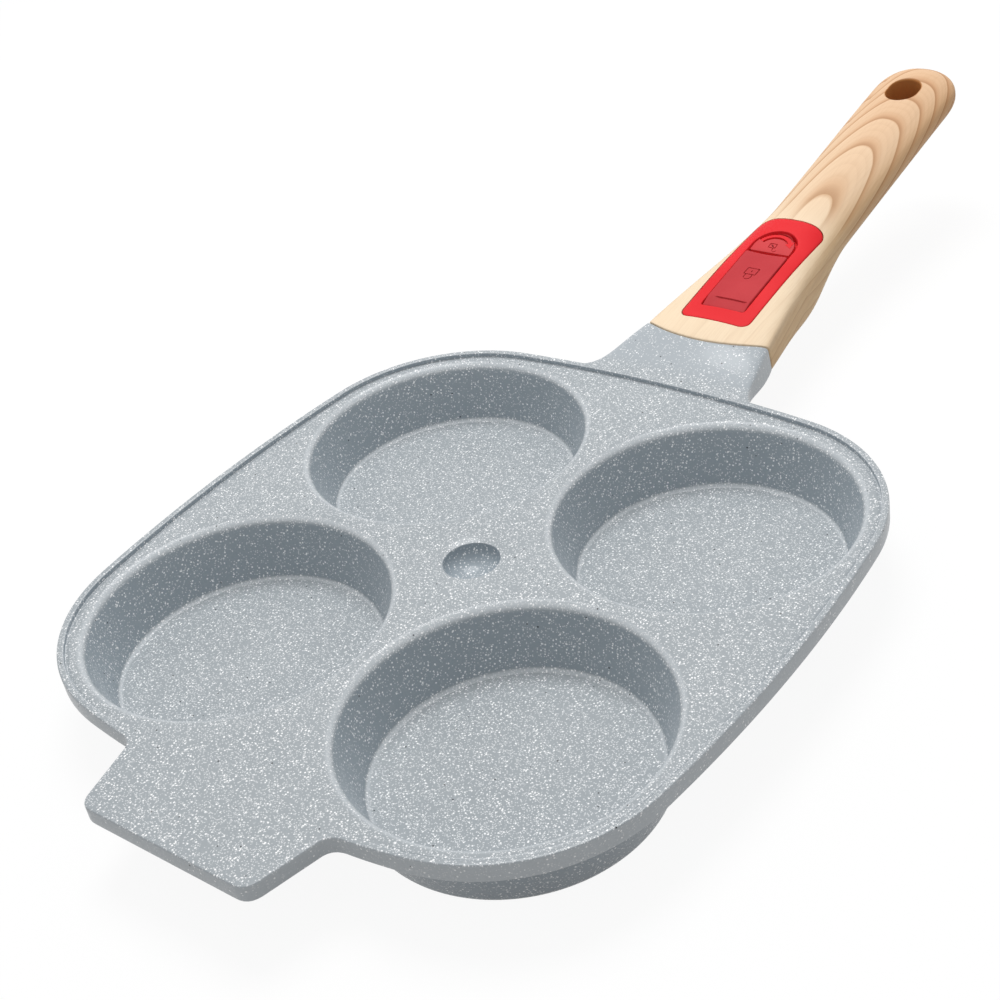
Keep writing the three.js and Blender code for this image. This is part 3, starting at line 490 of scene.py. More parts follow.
def bezier(a, b, c, d, steps):
    points = []
    for i in range(steps + 1):
        t = i / steps
        weights = ((1 - t) ** 3, 3 * t * (1 - t) ** 2, 3 * t * t * (1 - t), t ** 3)
        points.append(tuple(sum(w * p[k] for w, p in zip(weights, (a, b, c, d))) for k in range(2)))
    return points


def bend(a, corner, b, steps):
    """A round corner from a to b, as a curve that heads for the corner."""
    toward = [(mix(end[0], corner[0], 2 / 3), mix(end[1], corner[1], 2 / 3)) for end in (a, b)]
    return bezier(a, toward[0], toward[1], b, steps)


# Materials
class Nodes:
    """Adds nodes to a tree; a value may be a number or another node's output."""

    def __init__(self, tree):
        self.tree = tree

    def add(self, kind, links=None, **settings):
        node = self.tree.nodes.new(kind)
        for key, value in settings.items():
            setattr(node, key, value)
        for key, value in (links or {}).items():
            self.feed(node.inputs[key], value)
        return node

    def feed(self, socket, value):
        if isinstance(value, bpy.types.NodeSocket):
            self.tree.links.new(value, socket)
        else:
            socket.default_value = value

    def math(self, operation, *values):
        node = self.add("ShaderNodeMath", operation=operation)
        for socket, value in zip(node.inputs, values):
            self.feed(socket, value)
        return node.outputs[0]

    def times(self, a, b):
        return self.math("MULTIPLY", a, b)

    def plus(self, a, b):
        return self.math("ADD", a, b)

    def span(self, value, low, high, out_low=0.0, out_high=1.0):
        links = {"Value": value, "From Min": low, "From Max": high, "To Min": out_low, "To Max": out_high}
        return self.add("ShaderNodeMapRange", links).outputs[0]

    def seen_share(self):
        """1 for what the camera sees, also in a reflection or through glass."""
        path = self.add("ShaderNodeLightPath")
        seen = self.math("MAXIMUM", path.outputs["Is Camera Ray"], path.outputs["Is Glossy Ray"])
        return self.math("MAXIMUM", seen, path.outputs["Is Transmission Ray"])


class Finish(Nodes):
    """A material's nodes, built up from the coordinates to the shader."""

    def __init__(self, name, roughness, metallic=0.0, shine=0.5):
        self.material = bpy.data.materials.new(name)
        self.material.use_nodes = True
        super().__init__(self.material.node_tree)
        self.shader = self.tree.nodes["Principled BSDF"]
        self.set("Roughness", roughness)
        self.set("Metallic", metallic)
        self.set("Specular IOR Level", shine)
        self.place = self.add("ShaderNodeTexCoord").outputs["Object"]

    def set(self, name, value):
        self.feed(self.shader.inputs[name], value)

    def noise(self, place, scale, detail=2.0, roughness=0.5):
        links = {"Vector": place, "Scale": scale, "Detail": detail, "Roughness": roughness}
        return self.add("ShaderNodeTexNoise", links).outputs["Fac"]

    def stretch(self, place, scale):
        return self.add("ShaderNodeMapping", {"Vector": place, "Scale": scale}).outputs[0]

    def ramp(self, value, stops):
        node = self.add("ShaderNodeValToRGB", {"Fac": value})
        while len(node.color_ramp.elements) < len(stops):
            node.color_ramp.elements.new(1.0)
        for element, (position, colour) in zip(node.color_ramp.elements, stops):
            element.position = position
            element.color = (*colour, 1.0)
        return node.outputs["Color"]

    def drift(self, value, colours):
        """A slight drift between two colours."""
        return self.ramp(value, [(0.3, colours[0]), (0.7, colours[1])])

    def blend(self, share, a, b, mode="MIX"):
        node = self.add("ShaderNodeMix", data_type="RGBA", blend_type=mode)
        for key, value in ((0, share), (6, a), (7, b)):
            if isinstance(value, tuple):
                value = (*value, 1.0)
            self.feed(node.inputs[key], value)
        return node.outputs[2]

    def bump(self, height, strength, distance):
        links = {"Height": height, "Strength": strength, "Distance": distance}
        self.set("Normal", self.add("ShaderNodeBump", links).outputs[0])


def specks(finish, scale, share, size):
    """A mask of round specks: cells of 1 / scale metres, a share of which hold a speck."""
    cell = finish.add("ShaderNodeTexVoronoi", {"Vector": finish.place, "Scale": scale})
    pick = finish.add("ShaderNodeSeparateColor", {"Color": cell.outputs["Color"]}).outputs[0]
    chosen = finish.math("LESS_THAN", pick, share)
    near = finish.span(cell.outputs["Distance"], size, size * SPECK_CORE)
    return finish.times(chosen, near)


def speckled_coating():
    """Grey non-stick coating full of pale specks: fewer on walls, outer edges and the neck. Walls and the
    dimple get painted shade, outer edges painted light and fillets a painted highlight.
    """
    finish = Finish("speckled_coating", 0.45, shine=0.16)
    slope_for_painted_light = finish.add("ShaderNodeAttribute", attribute_name="slope_for_painted_light").outputs["Fac"]
    cloud = finish.noise(finish.place, 22.0, 3.0)
    grain = finish.noise(finish.place, 1600.0, 2.0)
    # Masks from the stored slope: painted shade on walls and in the dimple, painted light on outer edges, a
    # painted highlight along fillets
    wall = finish.span(slope_for_painted_light, *WALL_SLOPES)
    edge = finish.span(slope_for_painted_light, *EDGE_SLOPES)
    fillet = finish.math("MINIMUM", finish.span(slope_for_painted_light, *FILLET_FROM), finish.span(slope_for_painted_light, *FILLET_TO))
    along = finish.add("ShaderNodeSeparateXYZ", {"Vector": finish.place}).outputs["Y"]
    flange_end = PAN_Y + FLANGE_HALF
    neck = finish.span(along, *[(flange_end + distance) * MM for distance in NECK_FADE])
    plain = finish.span(finish.math("MAXIMUM", edge, neck), 0.0, 1.0, 1.0, 0.4)
    flat = finish.drift(cloud, COAT_FLAT)
    base = finish.blend(wall, flat, COAT_WALL_PAINTED_SHADE)
    # Painted highlight along fillets and painted light on outer edges, then the neck's own paler tone
    for mask, share, tone in ((fillet, 0.7, COAT_PAINTED_LIGHT), (neck, 0.7, COAT_NECK), (edge, 0.8, COAT_PAINTED_LIGHT)):
        base = finish.blend(finish.times(mask, share), base, tone)
    base = finish.blend(finish.span(grain, 0.35, 0.7, 0.0, 0.3), base, COAT_GRAIN)
    # Fewer specks on walls, which darkens them further as painted shade
    shares = [finish.span(wall, 0.0, 1.0, *ends) for ends in (FINE_SHARE, COARSE_SHARE)]
    fine = specks(finish, FINE_CELLS, finish.times(shares[0], plain), FINE_SIZE)
    coarse = specks(finish, COARSE_CELLS, finish.times(shares[1], plain), COARSE_SIZE)
    dark = specks(finish, DARK_CELLS, DARK_SHARE, DARK_SIZE)
    colour = finish.blend(fine, base, SPECK_FINE)
    colour = finish.blend(coarse, colour, SPECK_COARSE)
    colour = finish.blend(dark, colour, SPECK_DARK)
    finish.set("Base Color", colour)
    finish.set("Roughness", finish.span(grain, 0.3, 0.7, 0.4, 0.54))
    finish.bump(finish.plus(grain, finish.times(coarse, 0.5)), 0.1, 0.0002)
    finish.set("Coat Weight", 0.3)
    finish.set("Coat Roughness", 0.13)
    return finish.material


def grained_wood():
    """Pale moulded wood look: arches on the top, straight grain on the sides, painted shade in the hanging
    hole.
    """
    finish = Finish("grained_wood", 0.55, shine=0.2)
    start = handle_place(0, 0, 0)
    turn = Matrix.Rotation(-HANDLE_TILT, 3, "X")
    links = {"Vector": finish.place, "Rotation": (-HANDLE_TILT, 0, 0), "Location": -(turn @ start)}
    local = finish.add("ShaderNodeMapping", links).outputs[0]
    axes = finish.add("ShaderNodeSeparateXYZ", {"Vector": local})
    # Rings: arches along the top that turn into straight lines down the sides
    across = finish.times(axes.outputs["X"], 1 / RING_WIDTH)
    along = finish.times(axes.outputs["Y"], 10.0)
    depth = finish.times(axes.outputs["Z"], -1000.0)
    run = finish.math("MAXIMUM", along, ARCH_START)
    curve = finish.times(finish.times(run, run), ARCH_BEND)
    lengthwise = finish.plus(curve, finish.times(run, ARCH_RUN))
    sway = finish.noise(finish.stretch(local, SWAY_STRETCH), 1.0, 1.0)
    sideways = finish.plus(across, finish.span(sway, 0.2, 0.8, -0.6, -0.1))
    crosswise = finish.math("POWER", finish.math("MINIMUM", finish.math("ABSOLUTE", sideways), 1.4), 2.2)
    sunk = finish.math("MAXIMUM", finish.plus(depth, -2.0), 0.0)
    below = finish.times(finish.math("POWER", sunk, 1.4), 0.06)
    rings = finish.plus(finish.plus(lengthwise, crosswise), below)
    rings = finish.plus(rings, finish.span(sway, 0.2, 0.8, 2.45, 2.65))
    ring = finish.math("FRACT", rings)
    grown = finish.ramp(ring, WOOD_RING)
    lines = finish.math("FRACT", finish.times(rings, RING_LINES))
    faint = finish.span(lines, 0.0, 0.6, 0.13, 0.0)
    grown = finish.blend(faint, grown, WOOD_LINE)
    # Arches fade out towards the pan; the sides keep streaks and a darker tint
    arches = finish.span(axes.outputs["Y"], 0.066, 0.084, 0.16, 1.0)
    sides = finish.span(depth, SIDE_FROM, SIDE_TO)
    seen = finish.math("MAXIMUM", arches, finish.times(sides, 0.45))
    colour = finish.blend(seen, WOOD_PLAIN, grown)
    streaks = finish.noise(finish.stretch(local, STREAK_STRETCH), 1.0, 3.0, 0.6)
    streaks = finish.times(finish.span(streaks, 0.44, 0.68, 0.0, 0.32), sides)
    colour = finish.blend(streaks, colour, WOOD_STREAK)
    fibre = finish.noise(finish.stretch(local, FIBRE_STRETCH), 1.0, 4.0, 0.65)
    colour = finish.blend(finish.span(fibre, 0.45, 0.8, 0.0, 0.3), colour, WOOD_FIBRE)
    warm = finish.span(axes.outputs["Y"], 0.06, 0.17, 0.0, 0.5)
    colour = finish.blend(warm, colour, WOOD_REAR_TINT, "MULTIPLY")
    tinted = finish.times(sides, 0.8)
    colour = finish.blend(tinted, colour, WOOD_SIDE_TINT, "MULTIPLY")
    # Painted shade inside the hanging hole, by the distance from its middle line
    ends = finish.math("ABSOLUTE", finish.plus(axes.outputs["Y"], -HOLE_AT * MM))
    ends = finish.math("MAXIMUM", finish.plus(ends, -(HOLE_HALF_LENGTH - HOLE_HALF) * MM), 0.0)
    squares = [finish.times(side, side) for side in (axes.outputs["X"], ends)]
    reach = finish.math("SQRT", finish.plus(*squares))
    bore_painted_shade = finish.span(reach, (HOLE_HALF + 0.7) * MM, (HOLE_HALF + 0.2) * MM)
    colour = finish.blend(bore_painted_shade, colour, WOOD_BORE_PAINTED_SHADE)
    finish.set("Base Color", colour)
    finish.set("Roughness", finish.span(fibre, 0.3, 0.8, 0.48, 0.64))
    finish.bump(fibre, 0.08, 0.0002)
    return finish.material


def moulded(name, low, high, roughness):
    """Moulded plastic with a fine satin texture and a slight drift in its colour."""
    finish = Finish(name, roughness, shine=0.07)
    drift = finish.noise(finish.place, 60.0, 2.0)
    texture = finish.noise(finish.place, 2600.0, 2.0)
    finish.set("Base Color", finish.drift(drift, (low, high)))
    finish.set("Roughness", finish.span(texture, 0.3, 0.7, roughness - 0.06, roughness + 0.08))
    finish.bump(texture, 0.08, 0.0001)
    return finish.material


def drawn_steel():
    finish = Finish("drawn_steel", 0.3, 1.0)
    streaks = finish.noise(finish.stretch(finish.place, STEEL_STRETCH), 1.0, 3.0)
    finish.set("Base Color", finish.drift(streaks, STEEL_STREAK))
    finish.set("Roughness", finish.span(streaks, 0.3, 0.7, 0.24, 0.38))
    return finish.material


coating = speckled_coating()
wood = grained_wood()
bright_red = moulded("bright_red_plastic", (0.74, 0.024, 0.031), (0.79, 0.031, 0.038), 0.46)
dull_red = moulded("dull_red_plastic", (0.50, 0.042, 0.050), (0.55, 0.052, 0.060), 0.55)
# The pad's red is lighter than the slider's, as painted light that offsets the shade it gets in the track's
# recess
pad_red_painted_light = moulded("pad_red_plastic_painted_light", (0.60, 0.058, 0.064), (0.65, 0.068, 0.074), 0.55)
black_plastic = moulded("black_plastic", (0.018, 0.019, 0.020), (0.026, 0.027, 0.028), 0.5)
steel = drawn_steel()


# Cups, repeated on a square
def wall_radius(z, outset):
    top = -RIM_FILLET * (1 - math.sin(CUP_DRAFT))
    return CUP_RADIUS + outset / math.cos(CUP_DRAFT) - (top - z) * math.tan(CUP_DRAFT)


def floor_curve(floor_z, fillet, outset):
    tangent = floor_z + fillet * (1 - math.sin(CUP_DRAFT))
    centre = wall_radius(tangent, outset) - fillet * math.cos(CUP_DRAFT)
    return arc(centre, floor_z + fillet, fillet, -math.pi / 2, -CUP_DRAFT, FILLET_STEPS)


rim_radius = CUP_RADIUS + RIM_FILLET * math.cos(CUP_DRAFT)
cup_inside = [(r, -CUP_DEPTH) for r in FLOOR_RINGS]
cup_inside += floor_curve(-CUP_DEPTH, FLOOR_FILLET, 0)
cup_inside += arc(rim_radius, -RIM_FILLET, RIM_FILLET, math.pi - CUP_DRAFT, math.pi / 2, FILLET_STEPS)
under_z = -FLANGE_PLATE - UNDER_FILLET
under_radius = wall_radius(under_z, CUP_WALL) + UNDER_FILLET
cup_outside = [(r, -FLANGE_Z) for r in FLOOR_RINGS]
cup_outside += floor_curve(-FLANGE_Z, BASE_FILLET, CUP_WALL)
cup_outside += arc(under_radius, under_z, UNDER_FILLET, math.pi, math.pi / 2, UNDER_FILLET_STEPS)


def circle(x, y, radius, steps):
    angles = [2 * math.pi * i / steps for i in range(steps)]
    return [(x + radius * math.cos(a), y + radius * math.sin(a)) for a in angles]


def turn_profile(work, profile, lowest, steps, place):
    """A profile turned about the vertical axis, closed by a point in its middle."""
    rings = [[place(x, y, z) for x, y in circle(0, 0, r, steps)] for r, z in profile]
    made = add_rings(work, rings)
    middle = work.verts.new(place(0, 0, lowest))
    for i in range(steps):
        work.faces.new((middle, made[0][i], made[0][(i + 1) % steps]))


def cup_grid_tree():
    """Repeats what it is given at the corners of a square."""
    tree = bpy.data.node_groups.new("cup_grid", "GeometryNodeTree")
    sockets = {}
    for name, kind in (("Cup", "Geometry"), ("Pitch", "Float"), ("Coating", "Material")):
        sockets[name] = tree.interface.new_socket(name, in_out="INPUT", socket_type="NodeSocket" + kind)
    tree.interface.new_socket("Cups", in_out="OUTPUT", socket_type="NodeSocketGeometry")
    given = tree.nodes.new("NodeGroupInput")
    square = tree.nodes.new("GeometryNodeMeshGrid")
    square.inputs["Vertices X"].default_value = 2
    square.inputs["Vertices Y"].default_value = 2
    copies = tree.nodes.new("GeometryNodeInstanceOnPoints")
    solid = tree.nodes.new("GeometryNodeRealizeInstances")
    coat = tree.nodes.new("GeometryNodeSetMaterial")
    result = tree.nodes.new("NodeGroupOutput")
    for source, target in (
        (given.outputs["Pitch"], square.inputs["Size X"]),
        (given.outputs["Pitch"], square.inputs["Size Y"]),
        (square.outputs["Mesh"], copies.inputs["Points"]),
        (given.outputs["Cup"], copies.inputs["Instance"]),
        (copies.outputs["Instances"], solid.inputs["Geometry"]),
        (solid.outputs["Geometry"], coat.inputs["Geometry"]),
        (given.outputs["Coating"], coat.inputs["Material"]),
        (coat.outputs["Geometry"], result.inputs["Cups"]),
    ):
        tree.links.new(source, target)
    return tree, sockets


def baked(piece, name):
    """The evaluated piece as a plain mesh; the piece itself is removed."""
    seen = piece.evaluated_get(bpy.context.evaluated_depsgraph_get())
    mesh = bpy.data.meshes.new_from_object(seen)
    mesh.name = name
    bpy.data.objects.remove(piece)
    return mesh


def make_cups():
    work = bmesh.new()
    for profile in (cup_inside, cup_outside):
        turn_profile(work, profile, profile[0][1], CUP_STEPS, lambda x, y, z: Vector((x, y, z)) * MM)
    cup = finish_mesh("cup", work, coating)
    tree, sockets = cup_grid_tree()
    modifier = cup.modifiers.new("cup_grid", "NODES")
    modifier.node_group = tree
    modifier[sockets["Pitch"].identifier] = CUP_PITCH * MM
    modifier[sockets["Coating"].identifier] = coating
    mesh = baked(cup, "cups")
    mesh.transform(Matrix.Translation(pan_place(0, 0, 0)))
    return mesh


# Rim: one path round the flange and the tab, with a lip on the flange and a plain edge on the tab
def flange_path():
    """Points round the flange from the tab's right root to its left one, counter-clockwise."""
    side = SIDE_ARC - FLANGE_HALF
    reach = SIDE_ARC - CORNER_RADIUS
    corner = (math.sqrt(2 * reach * reach - side * side) - side) / 2
    spread = math.atan2(corner, corner + side)
    points = []
    for quarter in range(5):
        turn = quarter * math.pi / 2 - math.pi / 2
        x = -side * math.cos(turn)
        y = -side * math.sin(turn)
        points += arc(x, y, SIDE_ARC, turn - spread, turn + spread, SIDE_STEPS)
        middle = turn + math.pi / 4
        x = math.sqrt(2) * corner * math.cos(middle)
        y = math.sqrt(2) * corner * math.sin(middle)
        points += arc(x, y, CORNER_RADIUS, turn + spread, turn + math.pi / 2 - spread, CORNER_STEPS)[1:-1]
    root = TAB_ROOT_HALF + ROOT_FILLET
    first = next(i for i, (x, y) in enumerate(points) if x > root and y < 0)
    front = -FLANGE_HALF / 2
    last = next(i for i, (x, y) in enumerate(points) if i > first and y < front and -root < x < 0)
    return points[first:last]


def rim_path():
    """The whole edge as evenly spaced points, with the share of lip at each."""
    flange = flange_path()
    lean = (TAB_ROOT_HALF - TAB_FRONT_HALF) / TAB_REACH
    root_y = flange[-1][1]
    front = -FLANGE_HALF - TAB_REACH
    root_end = (TAB_ROOT_HALF - lean * ROOT_FILLET, root_y - ROOT_FILLET)
    root_corner = (TAB_ROOT_HALF, root_y - ROOT_PULL)
    corner_half = TAB_FRONT_HALF + lean * TAB_CORNER
    right = [(TAB_FRONT_HALF - TAB_CORNER, front), (TAB_FRONT_HALF, front)]
    right.append((corner_half, front + TAB_CORNER))
    left = [(-x, y) for x, y in reversed(right)]
    left_root = [(-x, y) for x, y in (root_corner, root_end)]
    tab = bend(flange[-1], *left_root, ROOT_STEPS)[1:]
    tab += bend(*left, TAB_CORNER_STEPS)
    tab += bend(*right, TAB_CORNER_STEPS)
    tab += bend(root_end, root_corner, flange[0], ROOT_STEPS)[:-1]
    path = flange + tab
    length = sum(math.dist(a, b) for a, b in zip(path, path[1:] + path[:1]))
    points = resample(path, round(length / RIM_STEP))
    ends = (flange[0], flange[-1])
    shares = []
    for x, y in points:
        near = min(math.dist((x, y), end) for end in ends)
        on_tab = y < root_y - RIM_SLACK and abs(x) < ends[0][0]
        shares.append(0.0 if on_tab else smooth(near, 0.0, TAB_FADE))
    return points, shares


def rim_profile(lip):
    """Points over the edge as inset and height, from its underside up; lip runs from 0 for none to 1."""
    foot = mix(-TAB_THICKNESS, -EDGE_DROP, lip)
    crest = LIP_HEIGHT * lip
    groove = -LIP_GROOVE * lip
    small = EDGE_FOOT_ROUND
    turn = math.pi / 2
    points = [(LIP_WIDTH, mix(foot, -FLANGE_PLATE, lip)), (LIP_WIDTH, foot + small)]
    points += arc(LIP_WIDTH - small, foot + small, small, 0, -turn, EDGE_FOOT_STEPS)[1:]
    points += arc(small, foot + small, small, -turn, -2 * turn, EDGE_FOOT_STEPS)
    centre = crest - LIP_ROUND
    points += arc(LIP_ROUND, centre, LIP_ROUND, 2 * turn, turn, LIP_STEPS)
    inner = arc(LIP_WIDTH - LIP_ROUND, centre, LIP_ROUND, turn, LIP_LAST_ANGLE, LIP_STEPS)
    points += [(x, mix(0.0, z, lip)) for x, z in inner]
    points += [(LIP_WIDTH + LIP_GROOVE_WIDTH * across, groove * deep) for across, deep in GROOVE_SHAPE]
    return points


def tab_underside():
    """Points where the tab's thick plate steps up to the flange, as a low and a high row."""
    root = -(FLANGE_HALF - 2 * LIP_WIDTH)
    across = [-TAB_ROOT_HALF + RIM_STEP * i for i in range(int(2 * TAB_ROOT_HALF / RIM_STEP) + 1)]
    rows = {}
    for x in across:
        rows[(x, root - TAB_STEP_RUN)] = -TAB_THICKNESS
        rows[(x, root)] = -FLANGE_PLATE
    return rows


def dimple_profiles():
    """The dimple's bowl and the boss under it, each as a profile with its lowest height."""
    dish = (DIMPLE_RADIUS ** 2 + DIMPLE_DEPTH ** 2) / (2 * DIMPLE_DEPTH)
    dish_z = dish - DIMPLE_DEPTH
    boss = dish + FLANGE_PLATE
    foot = math.sqrt(boss ** 2 - (dish_z + FLANGE_PLATE) ** 2)
    bowl = []
    for i in range(1, BOWL_STEPS - 1):
        share = math.sin(math.pi / 2 * i / BOWL_STEPS)
        low = (1 - share ** DIMPLE_FULLNESS) ** (1 / DIMPLE_FULLNESS)
        bowl.append((DIMPLE_RADIUS * share, -DIMPLE_DEPTH * low))
    bowl += bend(bowl[-1], (DIMPLE_RADIUS, 0.0), (DIMPLE_RADIUS + DIMPLE_EDGE, 0.0), MOUTH_STEPS)[1:]
    down = -math.pi / 2
    spread = math.asin(foot / boss)
    dome = arc(0, dish_z, boss, down + spread / BOSS_STEPS, down + spread, BOSS_STEPS)
    return (bowl, -DIMPLE_DEPTH), (dome, dish_z - boss)


def make_flange():
    """The rim, the flange between the cups above and below, and the dimple with its boss in the middle."""
    work = bmesh.new()
    path, shares = rim_path()
    profiles = [rim_profile(share) for share in shares]
    rings = []
    for step in range(len(profiles[0])):
        flat = inset_path(path, [profile[step][0] for profile in profiles])
        rings.append([(x, y, profile[step][1]) for (x, y), profile in zip(flat, profiles)])
    add_rings(work, [[pan_place(*spot) for spot in ring] for ring in rings])
    half = CUP_PITCH / 2
    centres = [(sx * half, sy * half) for sx in (-1, 1) for sy in (-1, 1)]
    dimple = dimple_profiles()
    mouth, foot = [circle(0, 0, profile[-1][0], DIMPLE_STEPS) for profile, _ in dimple]
    rims = [circle(x, y, rim_radius, CUP_STEPS) for x, y in centres]
    top = [(x, y) for x, y, _ in rings[-1]]
    fill(work, top, rims + [mouth], lambda x, y: pan_place(x, y, 0))
    shells = [circle(x, y, under_radius, CUP_STEPS) for x, y in centres]
    levels = tab_underside()
    step_rows = list(levels)
    levels.update({(x, y): z for x, y, z in rings[0]})
    spots = {(round(x, 3), round(y, 3)): z for (x, y), z in levels.items()}

    def under(x, y):
        return pan_place(x, y, spots.get((round(x, 3), round(y, 3)), -FLANGE_PLATE))

    bottom = [(x, y) for x, y, _ in rings[0]]
    fill(work, bottom, shells + [foot], under, step_rows)
    for profile, lowest in dimple:
        turn_profile(work, profile, lowest, DIMPLE_STEPS, pan_place)
    return work


# Neck and handle: one skin along a line that leaves the flange and rises to the tail
def neck_share(v):
    return min(max(1 + v * math.cos(HANDLE_TILT) / NECK_LENGTH, 0.0), 1.0)


def spine(v):
    y = JOINT_Y + v * math.cos(HANDLE_TILT)
    if v >= 0:
        return y, JOINT_RISE + v * math.sin(HANDLE_TILT), HANDLE_TILT
    t = neck_share(v)
    lead = NECK_LENGTH * math.tan(HANDLE_TILT) * t * t * (t - 1)
    return y, mix(NECK_ROOT_RISE, JOINT_RISE, smooth(t, 0.0, 1.0)) + lead, HANDLE_TILT * t


def section(v):
    """Half width, depth, sink of the top, crown, belly and squareness at a distance along the handle."""
    if v < 0:
        t = neck_share(v)
        flare = NECK_FLARE * (1 - t) ** NECK_FLARE_EASE
        half = mix(NECK_ROOT_HALF, FRONT_HALF, t ** NECK_TAPER_EASE) + flare
        depth = mix(NECK_ROOT_DEPTH, FRONT_DEPTH, smooth(t, 0.0, 1.0))
        return half, depth, 0.0, FRONT_CROWN * t, FRONT_BELLY * t, FRONT_SQUARENESS
    narrowing = 1 - (1 - min(v / WAIST_AT, 1)) ** WAIST_EASE
    deepening = 1 - (1 - min(v / GRIP_AT, 1)) ** 2
    rounding = 1 - (1 - min(v / ROUND_AT, 1)) ** 2
    tail_start = HANDLE_LENGTH - TAIL_ROUND
    tail = min(max(0.0, (v - tail_start) / TAIL_ROUND), 1.0)
    width = mix(FRONT_HALF, WAIST_HALF, narrowing)
    width += (TAIL_HALF - WAIST_HALF) * smooth(v, WAIST_AT, tail_start)
    full = mix(FRONT_DEPTH, GRIP_DEPTH, deepening)
    full += (TAIL_DEPTH - GRIP_DEPTH) * smooth(v, GRIP_AT, tail_start)
    full += BELLY_SWELL * math.exp(-((v - BELLY_AT) / BELLY_SPREAD) ** 2)
    depth = full * (1 - tail ** TAIL_SIDE_FULLNESS) ** (1 / TAIL_SIDE_FULLNESS)
    half = width * (1 - tail ** TAIL_PLAN_FULLNESS) ** (1 / TAIL_PLAN_FULLNESS)
    crown = mix(FRONT_CROWN, GRIP_CROWN, rounding) * depth / full
    belly = mix(FRONT_BELLY, GRIP_BELLY, rounding) * depth / full
    return half, depth, (full - depth) / 2, crown, belly, mix(FRONT_SQUARENESS, GRIP_SQUARENESS, rounding)


def skin_height(v, across, up, inset):
    _, depth, sink, crown, belly, _ = section(v)
    wall = max((depth - crown - belly) / 2 - inset, 0.0)
    swell = (crown if up > 0 else -belly) * (1 - across * across)
    return -sink - inset - crown - wall + wall * up + swell


def directions(squareness):
    """Points round a unit section, by direction, so that flats and corners are both well covered."""
    found = []
    for i in range(SECTION_STEPS):
        angle = 2 * math.pi * (i + 0.5) / SECTION_STEPS
        c = math.cos(angle)
        s = math.sin(angle)
        reach = (abs(c) ** squareness + abs(s) ** squareness) ** (-1 / squareness)
        found.append((c * reach, s * reach))
    return found


def joint_line(x):
    """Where along the handle the bowed joint lies, at a place across it."""
    radius = (FRONT_HALF ** 2 + JOINT_BULGE ** 2) / (2 * JOINT_BULGE)
    return radius - JOINT_BULGE - math.sqrt(radius ** 2 - min(abs(x), FRONT_HALF) ** 2)


def skin_ring(along, inset=0.0):
    """A ring of places; along gives the distance along the handle at a place across it."""
    squareness = section(along(0.0))[5]
    ring = []
    for across, up in directions(squareness):
        v = along(across * FRONT_HALF)
        half = max(section(v)[0] - inset, 0.0)
        y, z, tilt = spine(v)
        n = skin_height(v, across, up, inset)
        ring.append(pan_place(half * across, y - n * math.sin(tilt), z + n * math.cos(tilt)))
    return ring


def cap(work, ring):
    """Closes a ring with strips from its upper to its lower half."""
    count = len(ring)
    for i in range(count // 2 - 1):
        work.faces.new((ring[i], ring[i + 1], ring[count - 2 - i], ring[count - 1 - i]))


def edge_steps(radius):
    """Steps of a rounded edge, as distance from the end and inset."""
    angles = [math.pi / 2 * i / JOINT_EDGE_STEPS for i in range(JOINT_EDGE_STEPS + 1)]
    return [(radius * (1 - math.cos(a)), radius * (1 - math.sin(a))) for a in angles]


def tube(rings):
    """A closed body through rings of the skin."""
    work = bmesh.new()
    made = add_rings(work, rings)
    cap(work, made[0])
    cap(work, made[-1])
    return work


def make_neck():
    root = -NECK_LENGTH / math.cos(HANDLE_TILT)
    rings = []
    for i in range(NECK_STEPS + 1):
        rings.append(skin_ring(lambda x: mix(root, joint_line(x) - JOINT_GAP - JOINT_EDGE, i / NECK_STEPS)))
    for back, inset in reversed(edge_steps(JOINT_EDGE)):
        rings.append(skin_ring(lambda x: joint_line(x) - JOINT_GAP - back, inset))
    return tube(rings)


def mark_slopes(mesh):
    """Stores the surface's slope at each point, for the coating's painted shade and light; outer edges
    count as negative, and the dimple is pushed towards a wall's slope so that it gets painted shade.
    """
    half = CUP_PITCH / 2 * MM
    middle = pan_place(0, 0, 0)
    values = []
    for vertex in mesh.vertices:
        x = vertex.co.x - middle.x
        y = vertex.co.y - middle.y
        in_cup = math.dist((abs(x), abs(y)), (half, half)) < (rim_radius + CUP_EDGE_MARGIN) * MM
        in_dimple = math.hypot(x, y) < DIMPLE_RADIUS * MM
        outward = vertex.normal.x * x + vertex.normal.y * y > 0
        slope = 1 - abs(vertex.normal.z)
        # Painted shade: the dimple counts as nearly a wall, so the coating darkens it
        if in_dimple:
            slope = mix(DIMPLE_PAINTED_SHADE, 1.0, slope)
        # Outer faces count as negative, so that the coating paints light on them
        elif outward and not in_cup:
            slope = -slope
        values.append(slope)
    mesh.attributes.new("slope_for_painted_light", "FLOAT", "POINT").data.foreach_set("value", values)


def make_pan():
    """Flange, cups, neck and the tongue with its window, joined into one skin."""
    work = make_flange()
    cups = make_cups()
    work.from_mesh(cups)
    bpy.data.meshes.remove(cups)
    pan = finish_mesh("pan_blank", work, coating)
    bar = finish_mesh("tongue", block(*TONGUE_BOX), coating)
    tongue = shade("tongue", combine(bar, [as_cutter(block(*WINDOW_BOX))], "DIFFERENCE"), coating)
    mesh = combine(pan, [as_cutter(make_neck()), tongue], "UNION")
    mark_slopes(mesh)
    return shade("pan_casting", mesh, coating, PAN_SHARP)


# Bodies in the handle's frame
def rectangle(half, front, rear):
    return [(-half, front), (half, front), (half, rear), (-half, rear)]


def handle_ring(outline, height):
    """Places along an outline on the handle; the height may be a function of the place."""
    return [handle_place(x, v, height(x, v) if callable(height) else height) for x, v in outline]


